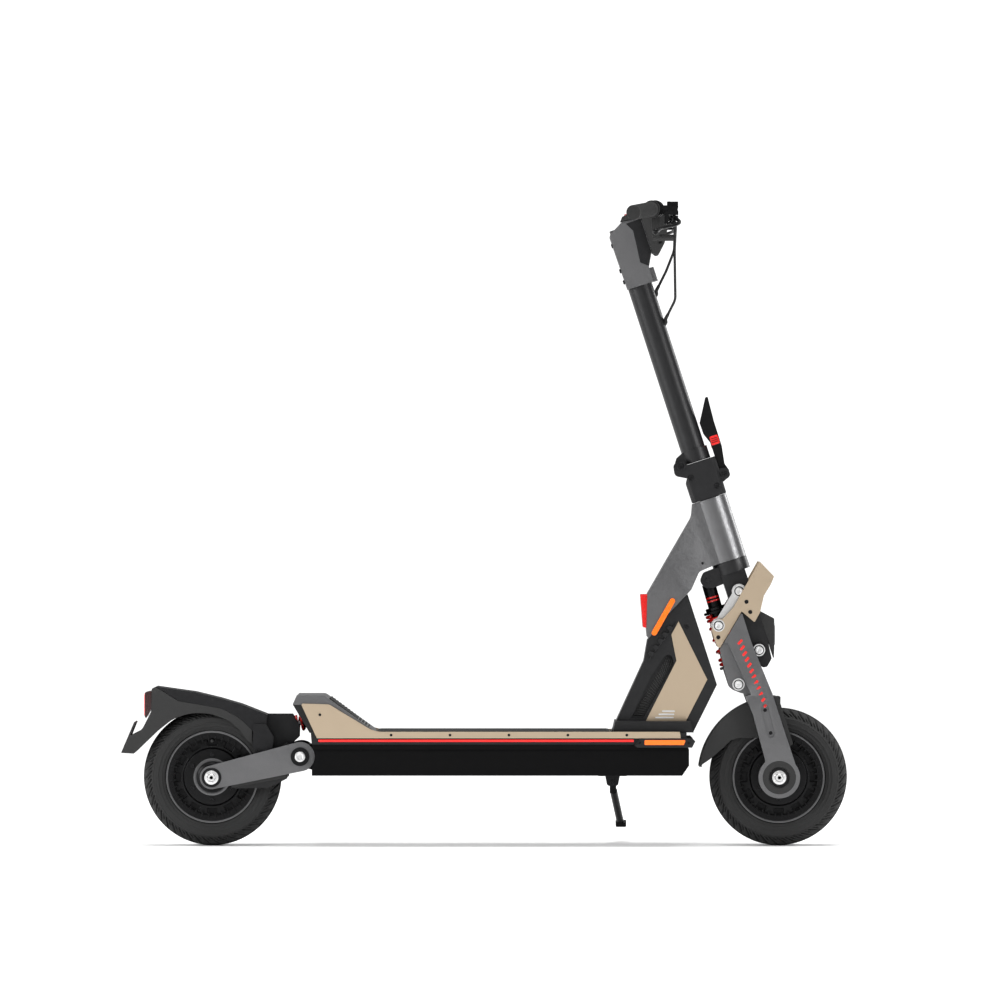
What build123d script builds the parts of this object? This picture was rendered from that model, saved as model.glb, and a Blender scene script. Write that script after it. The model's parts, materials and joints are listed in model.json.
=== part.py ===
from build123d import *
import os
from math import atan2, cos, degrees, hypot, radians, sin

# Electric kick scooter with swing-link front fork, rear swingarm and folding stem.
# Millimetres, +X forward, +Y to the rider's left, +Z up, origin on the ground
# under the middle of the overall box.

# ---------------------------------------------------------------- driving sizes
tyre_radius = 141.0
tyre_width = 88.0
front_axle_x = 601.7
rear_axle_x = -557.0
rake = 18.0                    # steering axis leans back from the vertical, degrees
axis_foot_x = 691.0            # where the steering axis meets the ground
bar_width = 656.0
deck_top = 236.8
deck_bottom = 145.5
deck_rear = -351.6
deck_front = 412.0
case_half = 100.0
deck_half = 107.0
tail_x = -(front_axle_x + tyre_radius)

# ---------------------------------------------------------------- clearances
seat_gap = 0.2                 # between pieces that are bolted or seated
run_gap = 0.05                 # radial, shaft in its bearing
move_gap = 0.6                 # between pieces that pass each other

# ---------------------------------------------------------------- wheels
rim_radius = 82.5
flange_radius = 96.0
flange_half = 36.0
flange_thick = 6.0
hub_face_radius = 57.0
hub_half = 42.0
tyre_wall = 9.0
axle_radius = 8.0
disc_radius = 68.0
disc_thick = 2.2
disc_y = 47.0
axle_z = tyre_radius

# ---------------------------------------------------------------- front end, steering frame
axle_local = ((front_axle_x - axis_foot_x) * cos(radians(rake)) + axle_z * sin(radians(rake)),
              -(front_axle_x - axis_foot_x) * sin(radians(rake)) + axle_z * cos(radians(rake)))
upper_pivot = (-1.0, 548.0)
lower_pivot = (0.5, 421.0)
link_reach = (-62.0, -53.5)
upper_fork_pivot = (upper_pivot[0] + link_reach[0], upper_pivot[1] + link_reach[1])
lower_fork_pivot = (lower_pivot[0] + link_reach[0], lower_pivot[1] + link_reach[1])
shock_top = (-55.0, 588.0)
column_half = 32.0
knuckle_front = 24.5
lamp_face = 593.0
link_in = 33.0
link_out = 43.0
bolt_radius = 7.0
fork_in = 50.0
wing_out = 59.0
fork_top_out = 66.0
leg_in = 54.0
leg_out = 80.0
head_low = 613.5
head_high = 746.5
head_radius = 36.5
steerer_radius = 20.0
bearing_radius = 29.0
bearing_height = 12.0
sweep_radius = 113.0           # everything that steers stays inside this about the axis
block_high = 853.0
fold_pivot = (-34.3, 827.0)
lever_pivot = (46.0, 786.0)
stem_radius = 25.4
stem_wall = 3.2

# ---------------------------------------------------------------- rear end
arm_pivot = (-376.2, 183.5)
arm_in = 57.0
arm_out = 74.0
arm_boss = 30.0
rear_eye = (-422.0, 250.0)
front_eye = (-287.0, 252.0)
eye_pin_radius = 5.0
front_eye_play = 1.1           # radial play of the front damper's lower eye
rear_eye_play = 0.4
front_travel = 26.5            # damper shaft travel kept free inside the body
rear_travel = 13.0
guard_half = 52.0              # half the width of the rear mudguard and its flap

# ---------------------------------------------------------------- side stand
stand_pivot = (263.4, 126.0)
stand_y = 78.0
stand_foot = (281.0, 168.0, 40.0)

# ---------------------------------------------------------------- riser
riser_half = 46.0
panel_depth = 4.0
riser_inlay = [(396.7, 459.2), (455.5, 340.3), (404, 240), (322, 240), (392.5, 379), (382, 432)]

# ---------------------------------------------------------------- cockpit
grip_radius = 15.0
bar_radius = 11.1
grip_end = (299.3, 1285.3)
grip_start = (343.4, 1297.6)
bar_centre = (356.0, 1299.0)
grip_length = 128.0
bar_flat = 50.0                # half the straight run at the bar's clamp
power_spot = (20, -34, 1350.6) # power button's centre, steering frame
horn_bore = 5.3


# ================================================================ helpers
def aim(local_x, local_z):
    """Side-view point of the steering frame in the scooter's own frame."""
    turn = radians(rake)
    return (axis_foot_x + local_x * cos(turn) - local_z * sin(turn),
            local_x * sin(turn) + local_z * cos(turn))


def steer(solid):
    """Stand a solid that was built upright on the leaning steering axis."""
    return Pos(axis_foot_x, 0, 0) * Rot(0, -rake, 0) * solid


def prism(points, y_low, y_high):
    """Side outline of (x, z) or (x, z, corner radius) points, thick from y_low to y_high."""
    path = [(point[0], point[1]) for point in points]
    radii = [point[2] if len(point) > 2 else 0 for point in points]
    outline = FilletPolyline(*path, radius=radii, close=True)
    face = Pos(0, y_high, 0) * (Plane.XZ * make_face(outline))
    return extrude(face, amount=y_high - y_low, dir=(0, -1, 0))


def rod(x, z, y_low, y_high, radius):
    """Cylinder across the scooter."""
    return Pos(x, (y_low + y_high) / 2, z) * Rot(90, 0, 0) * Cylinder(radius, y_high - y_low)


def disc_of(x, z, y_low, y_high, outer, inner):
    """Ring across the scooter."""
    return rod(x, z, y_low, y_high, outer) - rod(x, z, y_low - 1, y_high + 1, inner)


def strap(start, end, start_radius, end_radius, y_low, y_high):
    """Flat bar with round ends, seen from the side."""
    run = (end[0] - start[0], end[1] - start[1])
    length = hypot(*run)
    side = (-run[1] / length, run[0] / length)
    web = [(start[0] + side[0] * start_radius, start[1] + side[1] * start_radius),
           (end[0] + side[0] * end_radius, end[1] + side[1] * end_radius),
           (end[0] - side[0] * end_radius, end[1] - side[1] * end_radius),
           (start[0] - side[0] * start_radius, start[1] - side[1] * start_radius)]
    solid = prism(web, y_low, y_high) + rod(*start, y_low, y_high, start_radius)
    return solid + rod(*end, y_low, y_high, end_radius)


def other_side(solid):
    return mirror(solid, about=Plane.XZ)


def pair(solid):
    """A piece and its twin on the other side."""
    return [solid, other_side(solid)]


def turned(points):
    """Solid of revolution about the Y axis from (radius, y) points."""
    face = make_face(Polyline(*[(radius, y) for radius, y in points], close=True))
    return revolve(face, axis=Axis.Y)


def hose(points, radii, thickness):
    """Round hose along straight runs joined by arcs."""
    path = FilletPolyline(*points, radius=radii)
    start = Plane(origin=path @ 0, z_dir=path % 0)
    return sweep(start * Circle(thickness), path=path)


def save(name, pieces):
    """Write one sub-part; a list holds its separate solids."""
    flat = []
    for piece in pieces if isinstance(pieces, list) else [pieces]:
        flat.extend(piece.solids())
    export_step(Compound(flat), f"parts/{name}.step")


# ================================================================ wheels
def tyre(axle_x):
    """Tubeless tyre: an open-bellied hoop whose beads sit between the rim flanges."""
    half = tyre_width / 2
    bead_half = flange_half - flange_thick - seat_gap
    bead = rim_radius + seat_gap
    clear = flange_radius + seat_gap
    outer = [(bead, bead_half), (clear, bead_half), (clear, flange_half + 1), (106, half - 2.5),
             (118, half), (129, half - 3), (136, half - 12), (tyre_radius - 1.2, half - 24)]
    inner = [(tyre_radius - tyre_wall, 0), (128, half - 16), (118, half - tyre_wall),
             (104, half - tyre_wall - 2), (95, bead_half - 8), (bead, bead_half - 8)]
    left = outer + [(tyre_radius, 0)] + inner
    solid = turned(left) + turned([(radius, -y) for radius, y in left])
    return Pos(axle_x, 0, axle_z) * solid


def hub_motor(axle_x):
    """Motor shell and rim in one casting, with a ring of pockets on each face."""
    edge = flange_half - flange_thick
    left = [(axle_radius + run_gap, 0), (axle_radius + run_gap, hub_half),
            (26, hub_half), (30, hub_half - 3), (hub_face_radius, hub_half - 5),
            (hub_face_radius + 3, hub_half - 12), (rim_radius - 4, edge - 2), (rim_radius - 4, flange_half),
            (flange_radius, flange_half), (flange_radius, edge), (rim_radius, edge), (rim_radius, 0)]
    shell = turned(left) + turned([(radius, -y) for radius, y in left])
    pocket_radius = (hub_face_radius + rim_radius) / 2
    for index in range(12):
        pocket = Rot(0, index * 30, 0) * Pos(pocket_radius, 0, 0) * Box(11, 90, 20)
        depth = Box(400, 2 * (edge - 7), 400)
        shell -= pocket - depth
    return Pos(axle_x, 0, axle_z) * shell


def brake_disc(axle_x):
    """Vented disc on a carrier that stands off the motor's left face."""
    low = disc_y - disc_thick / 2
    plate = disc_of(0, 0, low, low + disc_thick, disc_radius, 24)
    for index in range(12):
        for offset, radius in ((0, 58), (12, 50)):
            turn = Rot(0, index * 30 + offset, 0)
            plate -= turn * rod(radius, 0, low - 1, low + disc_thick + 1, 3.4)
    carrier = disc_of(0, 0, hub_half + seat_gap, low, 32, 12)
    return Pos(axle_x, 0, axle_z) * (plate + carrier)


def axle_set(axle_x, reach):
    """Axle with its washers and domed nuts outside the arms."""
    pieces = [rod(axle_x, axle_z, -reach - 10, reach + 10, axle_radius)]
    for solid in (disc_of(axle_x, axle_z, reach + seat_gap, reach + 3, 20, axle_radius + seat_gap),
                  disc_of(axle_x, axle_z, reach + 3 + seat_gap, reach + 11, 14, axle_radius + seat_gap)):
        pieces += pair(solid)
    return pieces


def caliper(axle_x, bearing, frame_y):
    """Two-piece brake caliper over the disc, bolted to the arm at frame_y."""
    low = hub_half - 1.5
    body = Pos(0, (low + frame_y - seat_gap) / 2, 0) * Box(34, frame_y - seat_gap - low, 62)
    body = fillet(body.edges().filter_by(Axis.Y), 8)
    slot = Pos(-8, disc_y, 0) * Box(34, disc_thick + 2 * move_gap, 90)
    body -= slot
    reach = disc_radius - 4
    return Pos(axle_x, 0, axle_z) * Rot(0, -bearing, 0) * Pos(reach, 0, 0) * body


# ================================================================ deck
def battery_case():
    """Open-topped tray under the deck, with a flange and the swingarm's pivot block."""
    wall = 5
    rear_wall = 14
    tray = prism([(deck_rear, deck_bottom), (deck_rear, 209), (deck_front, 209), (deck_front + 5, 199),
                  (deck_front + 5, 166), (deck_front - 9, deck_bottom)], -case_half, case_half)
    tray -= prism([(deck_rear + rear_wall, deck_bottom + wall), (deck_rear + rear_wall, 220),
                   (deck_front - wall, 220), (deck_front - wall, 168), (deck_front - 18, deck_bottom + wall)],
                  -case_half + wall, case_half - wall)
    for solid in pair(prism([(deck_rear, 199), (deck_rear, 209), (deck_front, 209), (deck_front, 199)],
                            case_half - 1, deck_half - 1)):
        tray += solid
    block = rod(*arm_pivot, -44, 44, 21)
    block += prism([(arm_pivot[0], arm_pivot[1] - 21), (deck_rear + 1, deck_bottom + 10),
                    (deck_rear + 1, 208), (arm_pivot[0], arm_pivot[1] + 21)], -44, 44)
    for scoop in pair(rod(*arm_pivot, arm_in - 2, deck_half + 1, arm_boss + 1)):
        tray -= scoop
    return tray + block - rod(*arm_pivot, -50, 50, 9 + run_gap)


def deck_frame():
    """Deck pressing over the tray, its front corner housings and the shock's front bracket."""
    low = 209 + seat_gap
    high = deck_top - 4
    slab = prism([(deck_rear, low), (deck_rear - 2, high), (deck_front, high), (deck_front, low)],
                 -deck_half, deck_half)
    slab -= prism([(deck_rear + 20, low - 1), (deck_rear + 20, high - 7),
                   (deck_front - 20, high - 7), (deck_front - 20, low - 1)], -case_half + 8, case_half - 8)
    for solid in pair(prism([(front_eye[0] - 13, high - 1), (front_eye[0] - 11, front_eye[1], 8),
                             (front_eye[0], front_eye[1] + 12, 8), (front_eye[0] + 11, front_eye[1], 8),
                             (front_eye[0] + 13, high - 1)], 13, 22)):
        slab += solid
    for scoop in pair(rod(*arm_pivot, arm_in - 2, deck_half + 1, arm_boss + 1)):
        slab -= scoop
    slab -= rod(*front_eye, -30, 30, eye_pin_radius + seat_gap)
    corner = prism([(306, 207), (318, 221.7), (424, 221.7), (429.5, 216), (423, 203), (311, 203)],
                   deck_half + seat_gap, deck_half + 7)
    return [slab, rod(*front_eye, -24, 24, eye_pin_radius)] + pair(corner)


def deck_mat():
    """Grip mat laid on the deck, with shallow cross grooves."""
    low = deck_top - 4 + seat_gap
    mat = prism([(-218, low), (-218, deck_top), (255, deck_top), (255, low)], -deck_half + 8, deck_half - 8)
    return mat


def side_trims():
    """Champagne side strip with its rear wing, and the inlay panel on each side of the riser."""
    high = deck_top - 1.5
    strip = prism([(-341, 222), (-374, 293, 3), (-316, 291, 12), (-224.5, high, 60), (300, high),
                   (398, high), (400, 222)], deck_half + seat_gap, deck_half + 5)
    panel = prism(riser_inlay, riser_half - panel_depth + seat_gap, riser_half + 1)
    return pair(strip) + pair(panel)


def kick_plate():
    """Sloping foot rest at the rear: a bent plate between two cheeks."""
    skin = 5
    top = 309.5
    low = deck_top - 4 + seat_gap
    cheek = prism([(-356, low), (-390.5, 291, 2), (-382.3, top, 2), (-327, top, 14), (-224.5, deck_top, 4),
                   (-221, low)], deck_half - 7, deck_half - seat_gap)
    plate = prism([(-390.5, 291), (-382.3, top, 2), (-327, top, 14), (-224.5, deck_top), (-221, low),
                   (-229, low), (-329, top - skin, 12), (-379, top - skin), (-386, 291)],
                  -deck_half + 6, deck_half - 6)
    return plate + cheek + other_side(cheek)


def battery_pack():
    """Cell pack in its sleeve, standing on the tray floor."""
    low = deck_bottom + 5 + seat_gap
    pack = Pos(-95, 0, (low + 203) / 2) * Box(450, 176, 203 - low)
    return fillet(pack.edges().filter_by(Axis.X), 6)


def motor_controller():
    """Finned controller box in front of the pack."""
    low = deck_bottom + 5 + seat_gap
    box = Pos(250, 0, (low + 190) / 2) * Box(180, 150, 190 - low)
    for index in range(7):
        box += Pos(250, (index - 3) * 20, 194) * Box(170, 4, 10)
    return box


def frame_hardware():
    """Swingarm pivot bolt with its heads, and the side stand's bracket."""
    bolt = rod(*arm_pivot, -arm_out - 6, arm_out + 6, 9)
    heads = []
    for solid in (disc_of(*arm_pivot, arm_out + seat_gap, arm_out + 3, 19, 9 + seat_gap),
                  disc_of(*arm_pivot, arm_out + 3 + seat_gap, arm_out + 7, 14, 9 + seat_gap)):
        heads += pair(solid)
    bracket = Pos(stand_pivot[0], stand_y + 2, deck_bottom - 3 - seat_gap) * Box(58, 34, 6)
    for side in (-11.5, 13.5):
        bracket += prism([(stand_pivot[0] - 15, deck_bottom - 5), (stand_pivot[0] - 11, stand_pivot[1] - 7, 6),
                          (stand_pivot[0] + 11, stand_pivot[1] - 7, 6), (stand_pivot[0] + 15, deck_bottom - 5)],
                         stand_y + side - 2, stand_y + side + 2)
    bracket -= rod(*stand_pivot, stand_y - 20, stand_y + 20, 4 + seat_gap)
    pin = rod(*stand_pivot, stand_y - 15.5, stand_y + 17.5, 4)
    return [bolt] + heads + [bracket, pin]


# ================================================================ side stand
def kickstand():
    """Cast side stand: an eye on the pivot, a splayed leg and a rocker foot."""
    eye = rod(*stand_pivot, stand_y - 9.5 + move_gap, stand_y + 11.5 - move_gap, 9)
    start = Vector(stand_pivot[0] + 2, stand_y + 1, stand_pivot[1] - 17)
    end = Vector(*stand_foot)
    path = Line(start, end)
    leg = sweep(Plane(origin=start, z_dir=end - start) * Circle(7.5), path=path)
    neck = Pos(stand_pivot[0] + 1, stand_y + 1, stand_pivot[1] - 12) * Box(13, 15, 20)
    foot = fillet(Box(22, 26, 9).edges().filter_by(Axis.Z), 5)
    stand = eye + neck + leg + Pos(end.X + 1, end.Y + 3, end.Z - 2) * Rot(12, 0, 0) * foot
    return stand - rod(*stand_pivot, stand_y - 20, stand_y + 20, 4 + run_gap)


# ================================================================ riser and neck
def steering_room(low, high):
    """Round space about the steering axis that the fork sweeps."""
    return steer(Pos(0, 0, (low + high) / 2) * Cylinder(sweep_radius, high - low))


def riser_frame():
    """Forked casting between the deck and the neck, with a recess for the inlay and a side vent."""
    body = prism([(259.3, deck_top - 3.8), (326, 378, 6), (333.4, 420.9), (370.2, 468.1), (418.5, 518.7, 2),
                  (478.5, 336.2, 14), (427, deck_top - 3.8)], -riser_half, riser_half)
    body += prism([(262, deck_top - 3.8), (267, 256), (420, 256), (427, deck_top - 3.8)], -82, 82)
    body -= steering_room(300, 620)
    vent = prism([(300, 262), (326, 262), (388, 372, 10), (379, 405, 10), (340, 345)],
                 riser_half - 9, riser_half + 1)
    inlay = prism(riser_inlay, riser_half - panel_depth, riser_half + 20)
    for solid in (vent, inlay):
        body -= solid
        body -= other_side(solid)
    return body


def neck_outline():
    return [aim(-head_radius, head_high), aim(head_radius, head_high), aim(head_radius, head_low),
            aim(-head_radius, head_low), (*aim(-66, 611), 14), (423, 524, 16), (370, 468.4), (333, 421, 3),
            (331, 444), (333, 515, 3), (423.3, 672.4, 30)]


def neck_casting():
    """Cast neck: a round head tube and the web that widens back and down to the riser."""
    plan = make_face(Polyline((15, -30), (-30, -30), (-118, -54), (-260, -54), (-260, 54), (-118, 54),
                              (-30, 30), (15, 30), close=True))
    body = prism(neck_outline(), -56, 56) & steer(Pos(0, 0, 380) * extrude(plan, amount=420))
    body += steer(Pos(0, 0, (head_low + head_high) / 2) * Cylinder(head_radius, head_high - head_low))
    body -= steer(Pos(0, 0, (head_low + head_high) / 2) * Cylinder(steerer_radius + 3, 200))
    for height in (head_low, head_high):
        body -= steer(Pos(0, 0, height) * Cylinder(bearing_radius + seat_gap, 2 * (bearing_height + seat_gap)))
    return body


def head_bearings():
    """Upper and lower headset bearings in their counterbores."""
    rings = []
    for height in (head_low + bearing_height / 2, head_high - bearing_height / 2):
        ring = Cylinder(bearing_radius, bearing_height) - Cylinder(steerer_radius + run_gap, bearing_height + 2)
        rings.append(steer(Pos(0, 0, height) * ring))
    return rings


def heat_sink_fins():
    """Toothed cooling strip along the riser's upper rear edge, on each side."""
    low = (331, 388)
    high = (386, 463)
    run = (high[0] - low[0], high[1] - low[1])
    length = hypot(*run)
    along = (run[0] / length, run[1] / length)
    out = (-along[1], along[0])

    def place(distance, height):
        return (low[0] + along[0] * distance + out[0] * height, low[1] + along[1] * distance + out[1] * height)

    strip = prism([place(0, -10), place(0, -8), place(length, -8), place(length, -10)],
                  riser_half + seat_gap, riser_half + 4)
    for index in range(5):
        start = 4 + index * (length - 12) / 5
        strip += prism([place(start, -9), place(start + 3, 1), place(start + 9, 1), place(start + 12, -9)],
                       riser_half + seat_gap, riser_half + 6)
    return pair(strip)


def red_lamps():
    """Rear lamp on the neck and the glowing strip along each side of the deck."""
    lamp = prism([(318.8, 514.5, 2), (333 - seat_gap, 514.5), (331 - seat_gap, 446), (324, 446.9, 2)], -40, 40)
    strip = prism([(-338, 214.5), (-338, 219.5), (304, 219.5), (304, 214.5)],
                  deck_half + seat_gap, deck_half + 3.5)
    return [lamp] + pair(strip)


def side_reflectors():
    """Amber reflectors: one on each side of the neck and one on each corner housing."""
    bar = strap((347, 436), (384, 501), 5.5, 5.5, 0, 70)
    skin = bar - prism([(250, 300), (250, 700), (500, 700), (500, 300)], -100, 54.2)
    skin &= prism([(250, 300), (250, 700), (500, 700), (500, 300)], 54.2, 57)
    corner = prism([(326, 208.5, 2), (326, 218.5, 2), (410, 218.5, 2), (406, 208.5, 2)],
                   deck_half + 7 + seat_gap, deck_half + 9)
    return pair(skin) + pair(corner)


# ================================================================ rear end
def swingarm():
    """Two cast arms, the bridge between them and the shock's lugs."""
    axle = (rear_axle_x, axle_z)
    arm = strap(arm_pivot, axle, arm_boss, 24, arm_in, arm_out)
    arm += prism([(-408, 158), (-520, 133), (-512, 118, 8), (-440, 120, 8), (-400, 140, 6)],
                 arm_in, arm_in + 10)
    arm -= rod(*arm_pivot, 0, 200, 9 + run_gap)
    arm -= rod(*axle, 0, 200, axle_radius + seat_gap)
    bridge = prism([(-399, 172, 3), (-412, 172, 3), (-413, 206, 3), (-401, 212, 3)],
                   -arm_in + seat_gap, arm_in - seat_gap)
    lug = prism([(-401, 212 + seat_gap), (-413, 206 + seat_gap), (-438, 236, 10), (-440, 262, 14),
                 (-424, 270, 14), (-404, 258, 14)], 13, 23)
    lug -= rod(*rear_eye, 0, 40, eye_pin_radius + seat_gap)
    return pair(arm) + [bridge] + pair(lug) + [rod(*rear_eye, -25, 25, eye_pin_radius)]


def rear_fender():
    """Upper rear mudguard: a humped shell that narrows to a tail, with its brackets beside the arms."""
    skin = guard_half - 5
    top = [(-671.4, 325.9), (-591.4, 314.5), (-540.2, 302), (-497.1, 289.5), (-443.8, 268.5)]
    under = [(-446, 236), (-456, 205, 4), (-470, 232, 40), (-500, 262, 60), (-536, 281, 60), (-580, 289),
             (-625, 297)]
    shell = prism(top + under, -guard_half, guard_half)
    hollow = prism([(x + 1, z - 6) for x, z in top] + [(-430, 180), (-700, 180)], -skin, skin)
    shell -= hollow & prism([(-700, 150), (-700, 297), (-600, 283), (-440, 262), (-400, 150)], -skin, skin)
    shell -= rod(rear_axle_x, axle_z, -skin, skin, tyre_radius + 8)
    bracket = prism([(-472, 250), (-474, 205, 4), (-462, 178, 8), (-436, 180, 8), (-430, 222, 6), (-446, 250)],
                    skin + 1, arm_in - seat_gap)
    return shell + bracket + other_side(bracket)


def rear_mudflap():
    """Black side guard under the mudguard: an arch over the wheel that runs down to the tail tip."""
    upper = [(-625.5, 296.5), (-580, 288.6), (-536, 280.6, 60), (-500.4, 261.6, 60), (-475, 236.6)]
    arch = [(-475, 209), (-484, 215, 20), (-499, 236, 60), (-522, 257, 60), (-561, 271, 80), (-600, 272, 80),
            (-637, 260, 80), (-670, 234, 50)]
    tail = [(tail_x + 26, 189, 3), (tail_x, 190.6, 1), (tail_x + 27, 254, 1), (tail_x + 30, 253, 1),
            (tail_x + 19, 226), (-700, 238, 20), (-681, 275, 10), (-680, 322, 4)]
    body = prism([(-672, 325.2)] + upper + arch + tail, -guard_half, guard_half)
    return body - rod(rear_axle_x, axle_z, 6 - guard_half, guard_half - 6, tyre_radius + 8)


def tail_light():
    """Tail lamp on the mudguard's rear face."""
    return prism([(-694.5, 314, 3), (-681.4, 317, 2), (-681.4, 280), (-690.8, 262, 2), (-694.5, 262, 2)],
                 -38, 38)


def shock(length, body_length, body_radius, shaft_radius, coil_radius, spring_ends, eye_half, foot_bore,
          travel):
    """Damper built upright from its lower eye: its body and its shaft, each with a spring seat."""
    low, high = spring_ends
    body = Pos(0, 0, length - body_length / 2 - 4) * Cylinder(body_radius, body_length - 8)
    body += rod(0, length, -eye_half, eye_half, 11)
    body += Pos(0, 0, high + 2.7) * Cylinder(coil_radius + 1, 5)
    body -= rod(0, length, -40, 40, eye_pin_radius + run_gap)
    body -= Pos(0, 0, length - 18 - body_length / 2) * Cylinder(shaft_radius + run_gap, body_length)
    top = length - 20 - travel
    shaft = Pos(0, 0, (top + foot_bore + 1) / 2) * Cylinder(shaft_radius, top - foot_bore - 1)
    shaft += rod(0, 0, -eye_half, eye_half, foot_bore + 5)
    shaft += Pos(0, 0, low - 2.7) * Cylinder(coil_radius + 1, 5)
    shaft -= rod(0, 0, -40, 40, foot_bore)
    return body, shaft


def coil(coil_radius, wire, low, high, turns):
    """Round-wire compression spring."""
    height = high - low - 2 * wire
    path = Helix(pitch=height / turns, height=height, radius=coil_radius - wire)
    section = Plane(origin=path @ 0, z_dir=path % 0) * Circle(wire)
    return Pos(0, 0, low + wire) * sweep(section, path=path)


def lay(start, end, solid):
    """Place an upright solid so that it runs from start to end in the side view."""
    turn = degrees(atan2(end[0] - start[0], end[1] - start[1]))
    return Pos(start[0], 0, start[1]) * Rot(0, turn, 0) * solid


def shock_set(low_eye, high_eye, coil_radius, wire, ends, **sizes):
    """Damper body, rod and spring laid between their eyes."""
    length = hypot(high_eye[0] - low_eye[0], high_eye[1] - low_eye[1])
    body, shaft = shock(length, coil_radius=coil_radius, spring_ends=ends, **sizes)
    spring = coil(coil_radius, wire, *ends, 6)
    upright = {"body": body, "rod": shaft, "spring": spring}
    return {name: lay(low_eye, high_eye, solid) for name, solid in upright.items()}


# ================================================================ front end
def steering_column():
    """Steerer tube, crown collar and knuckle that carries the links."""
    tube = Pos(0, 0, (560 + head_high + 50) / 2) * Cylinder(steerer_radius, head_high + 50 - 560)
    collar = Pos(0, 0, (588 + head_low - move_gap) / 2) * Cylinder(head_radius, head_low - move_gap - 588)
    knuckle = prism([(-26, 590), (-26, 520, 6), (-20, 440, 6), (-19, 404, 14), (-2, 384, 6), (6, 383, 4),
                     (20, 396, 4), (knuckle_front, 440), (knuckle_front, 590)], -30, 30)
    bosses = rod(*upper_pivot, -column_half, column_half, 17) + rod(*lower_pivot, -column_half, column_half, 16)
    clevis = prism([(-20, 608), (-58, 606, 10), (-70, 592, 12), (-66, 576, 10), (-50, 570, 8), (-20, 572)],
                   14.6, 25)
    body = tube + collar + knuckle + bosses + clevis + other_side(clevis)
    body -= rod(*upper_pivot, -60, 60, bolt_radius + run_gap)
    body -= rod(*lower_pivot, -60, 60, bolt_radius + run_gap)
    body -= rod(*shock_top, -60, 60, eye_pin_radius + seat_gap)
    return [steer(body), steer(rod(*shock_top, -27, 27, eye_pin_radius))]


def headlight_housing():
    """Wedge-shaped lamp housing on the knuckle's front, its face square to the ground."""
    back = knuckle_front + seat_gap
    shell = prism([aim(back, 499), (lamp_face, 465, 4), (lamp_face, 404, 4), aim(back, 396)], -30, 30)
    mouth = prism([(lamp_face - 9, 460), (lamp_face + 9, 460), (lamp_face + 9, 409), (lamp_face - 9, 409)],
                  -25, 25)
    return shell - mouth


def headlight_lens():
    """Clear lamp lens in the housing's mouth."""
    return prism([(lamp_face - 8.8, 459.8), (lamp_face + 2, 459.8, 2), (lamp_face + 2, 409.2, 2),
                  (lamp_face - 8.8, 409.2)], -24.8, 24.8)


def swing_link(start, end, radius, waist):
    """One link: two eyes and a straight web."""
    body = strap(start, end, waist, waist, link_in + 1.5, link_out - 1.5)
    for centre in (start, end):
        body += rod(*centre, link_in, link_out, radius)
        body -= rod(*centre, 0, 80, bolt_radius + seat_gap)
    return body


def link_bolts(centre, head_y, inner_y):
    """Pivot bolts and their domed heads: one right through, or a stub on each side from inner_y."""
    if inner_y:
        shanks = pair(rod(*centre, inner_y, head_y, bolt_radius))
    else:
        shanks = [rod(*centre, -head_y, head_y, bolt_radius)]
    return shanks + pair(rod(*centre, head_y + seat_gap, head_y + 5, 12.5))


def fork_leg():
    """One fork leg: a broad blade, its rear web and the axle boss."""
    blade = [(-1.5, 162), (-2, 330), (-10, 444), (-9.5, 506, 2), (-76, 447, 6), (-80, 400, 4), (-80, 364, 14),
             (-62, 349, 6), (-56, 346, 4), (-53, 300), (-58, 203, 20), (-70, 175)]
    body = prism(blade, fork_in, leg_out) + rod(*axle_local, fork_in, leg_out, 42.5)
    profile = make_face(Polyline((leg_in, 100), (leg_in, 322), (fork_in, 340), (fork_in, 520),
                                 (fork_top_out, 520), (fork_top_out + 2, 380), (leg_out, 330), (leg_out, 100),
                                 close=True))
    body &= Pos(-120, 0, 0) * extrude(Plane.YZ * profile, amount=200, dir=(1, 0, 0))
    web = prism([(-90, 340), (-90, 460), (-56, 456), (-44, 340)], fork_in + 7, 100)
    body -= web
    body -= rod(*axle_local, leg_out - 6, leg_out + 10, 34)
    body -= rod(*axle_local, 0, 120, axle_radius + seat_gap)
    groove = strap((-26, 306), (-30, 252), 8, 8, leg_out - 4, leg_out + 10)
    body -= groove
    body -= rod(*lower_fork_pivot, 0, 120, bolt_radius + run_gap)
    return body


def fork_wing():
    """Champagne side plate that carries the upper link pivot and sweeps up in front."""
    outline = [(57, 594, 1), (76, 555, 2), (64, 541), (44, 524), (26, 494), (9, 478, 2), (-9.2, 507.5, 1),
               (-47, 474), (-77, 448, 3), (-80, 471, 6), (-79, 492, 12), (-66, 508, 8), (-50, 505), (-22, 521)]
    plate = prism(outline, fork_in, wing_out)
    return plate - rod(*upper_fork_pivot, 0, 120, bolt_radius + run_gap)


def fork_bridge():
    """Spacer tubes that tie the two legs together at both fork pivots."""
    spacers = []
    for centre in (upper_fork_pivot, lower_fork_pivot):
        spacers.append(disc_of(*centre, link_out + move_gap, fork_in - seat_gap, 12, bolt_radius + seat_gap))
    return spacers


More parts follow.
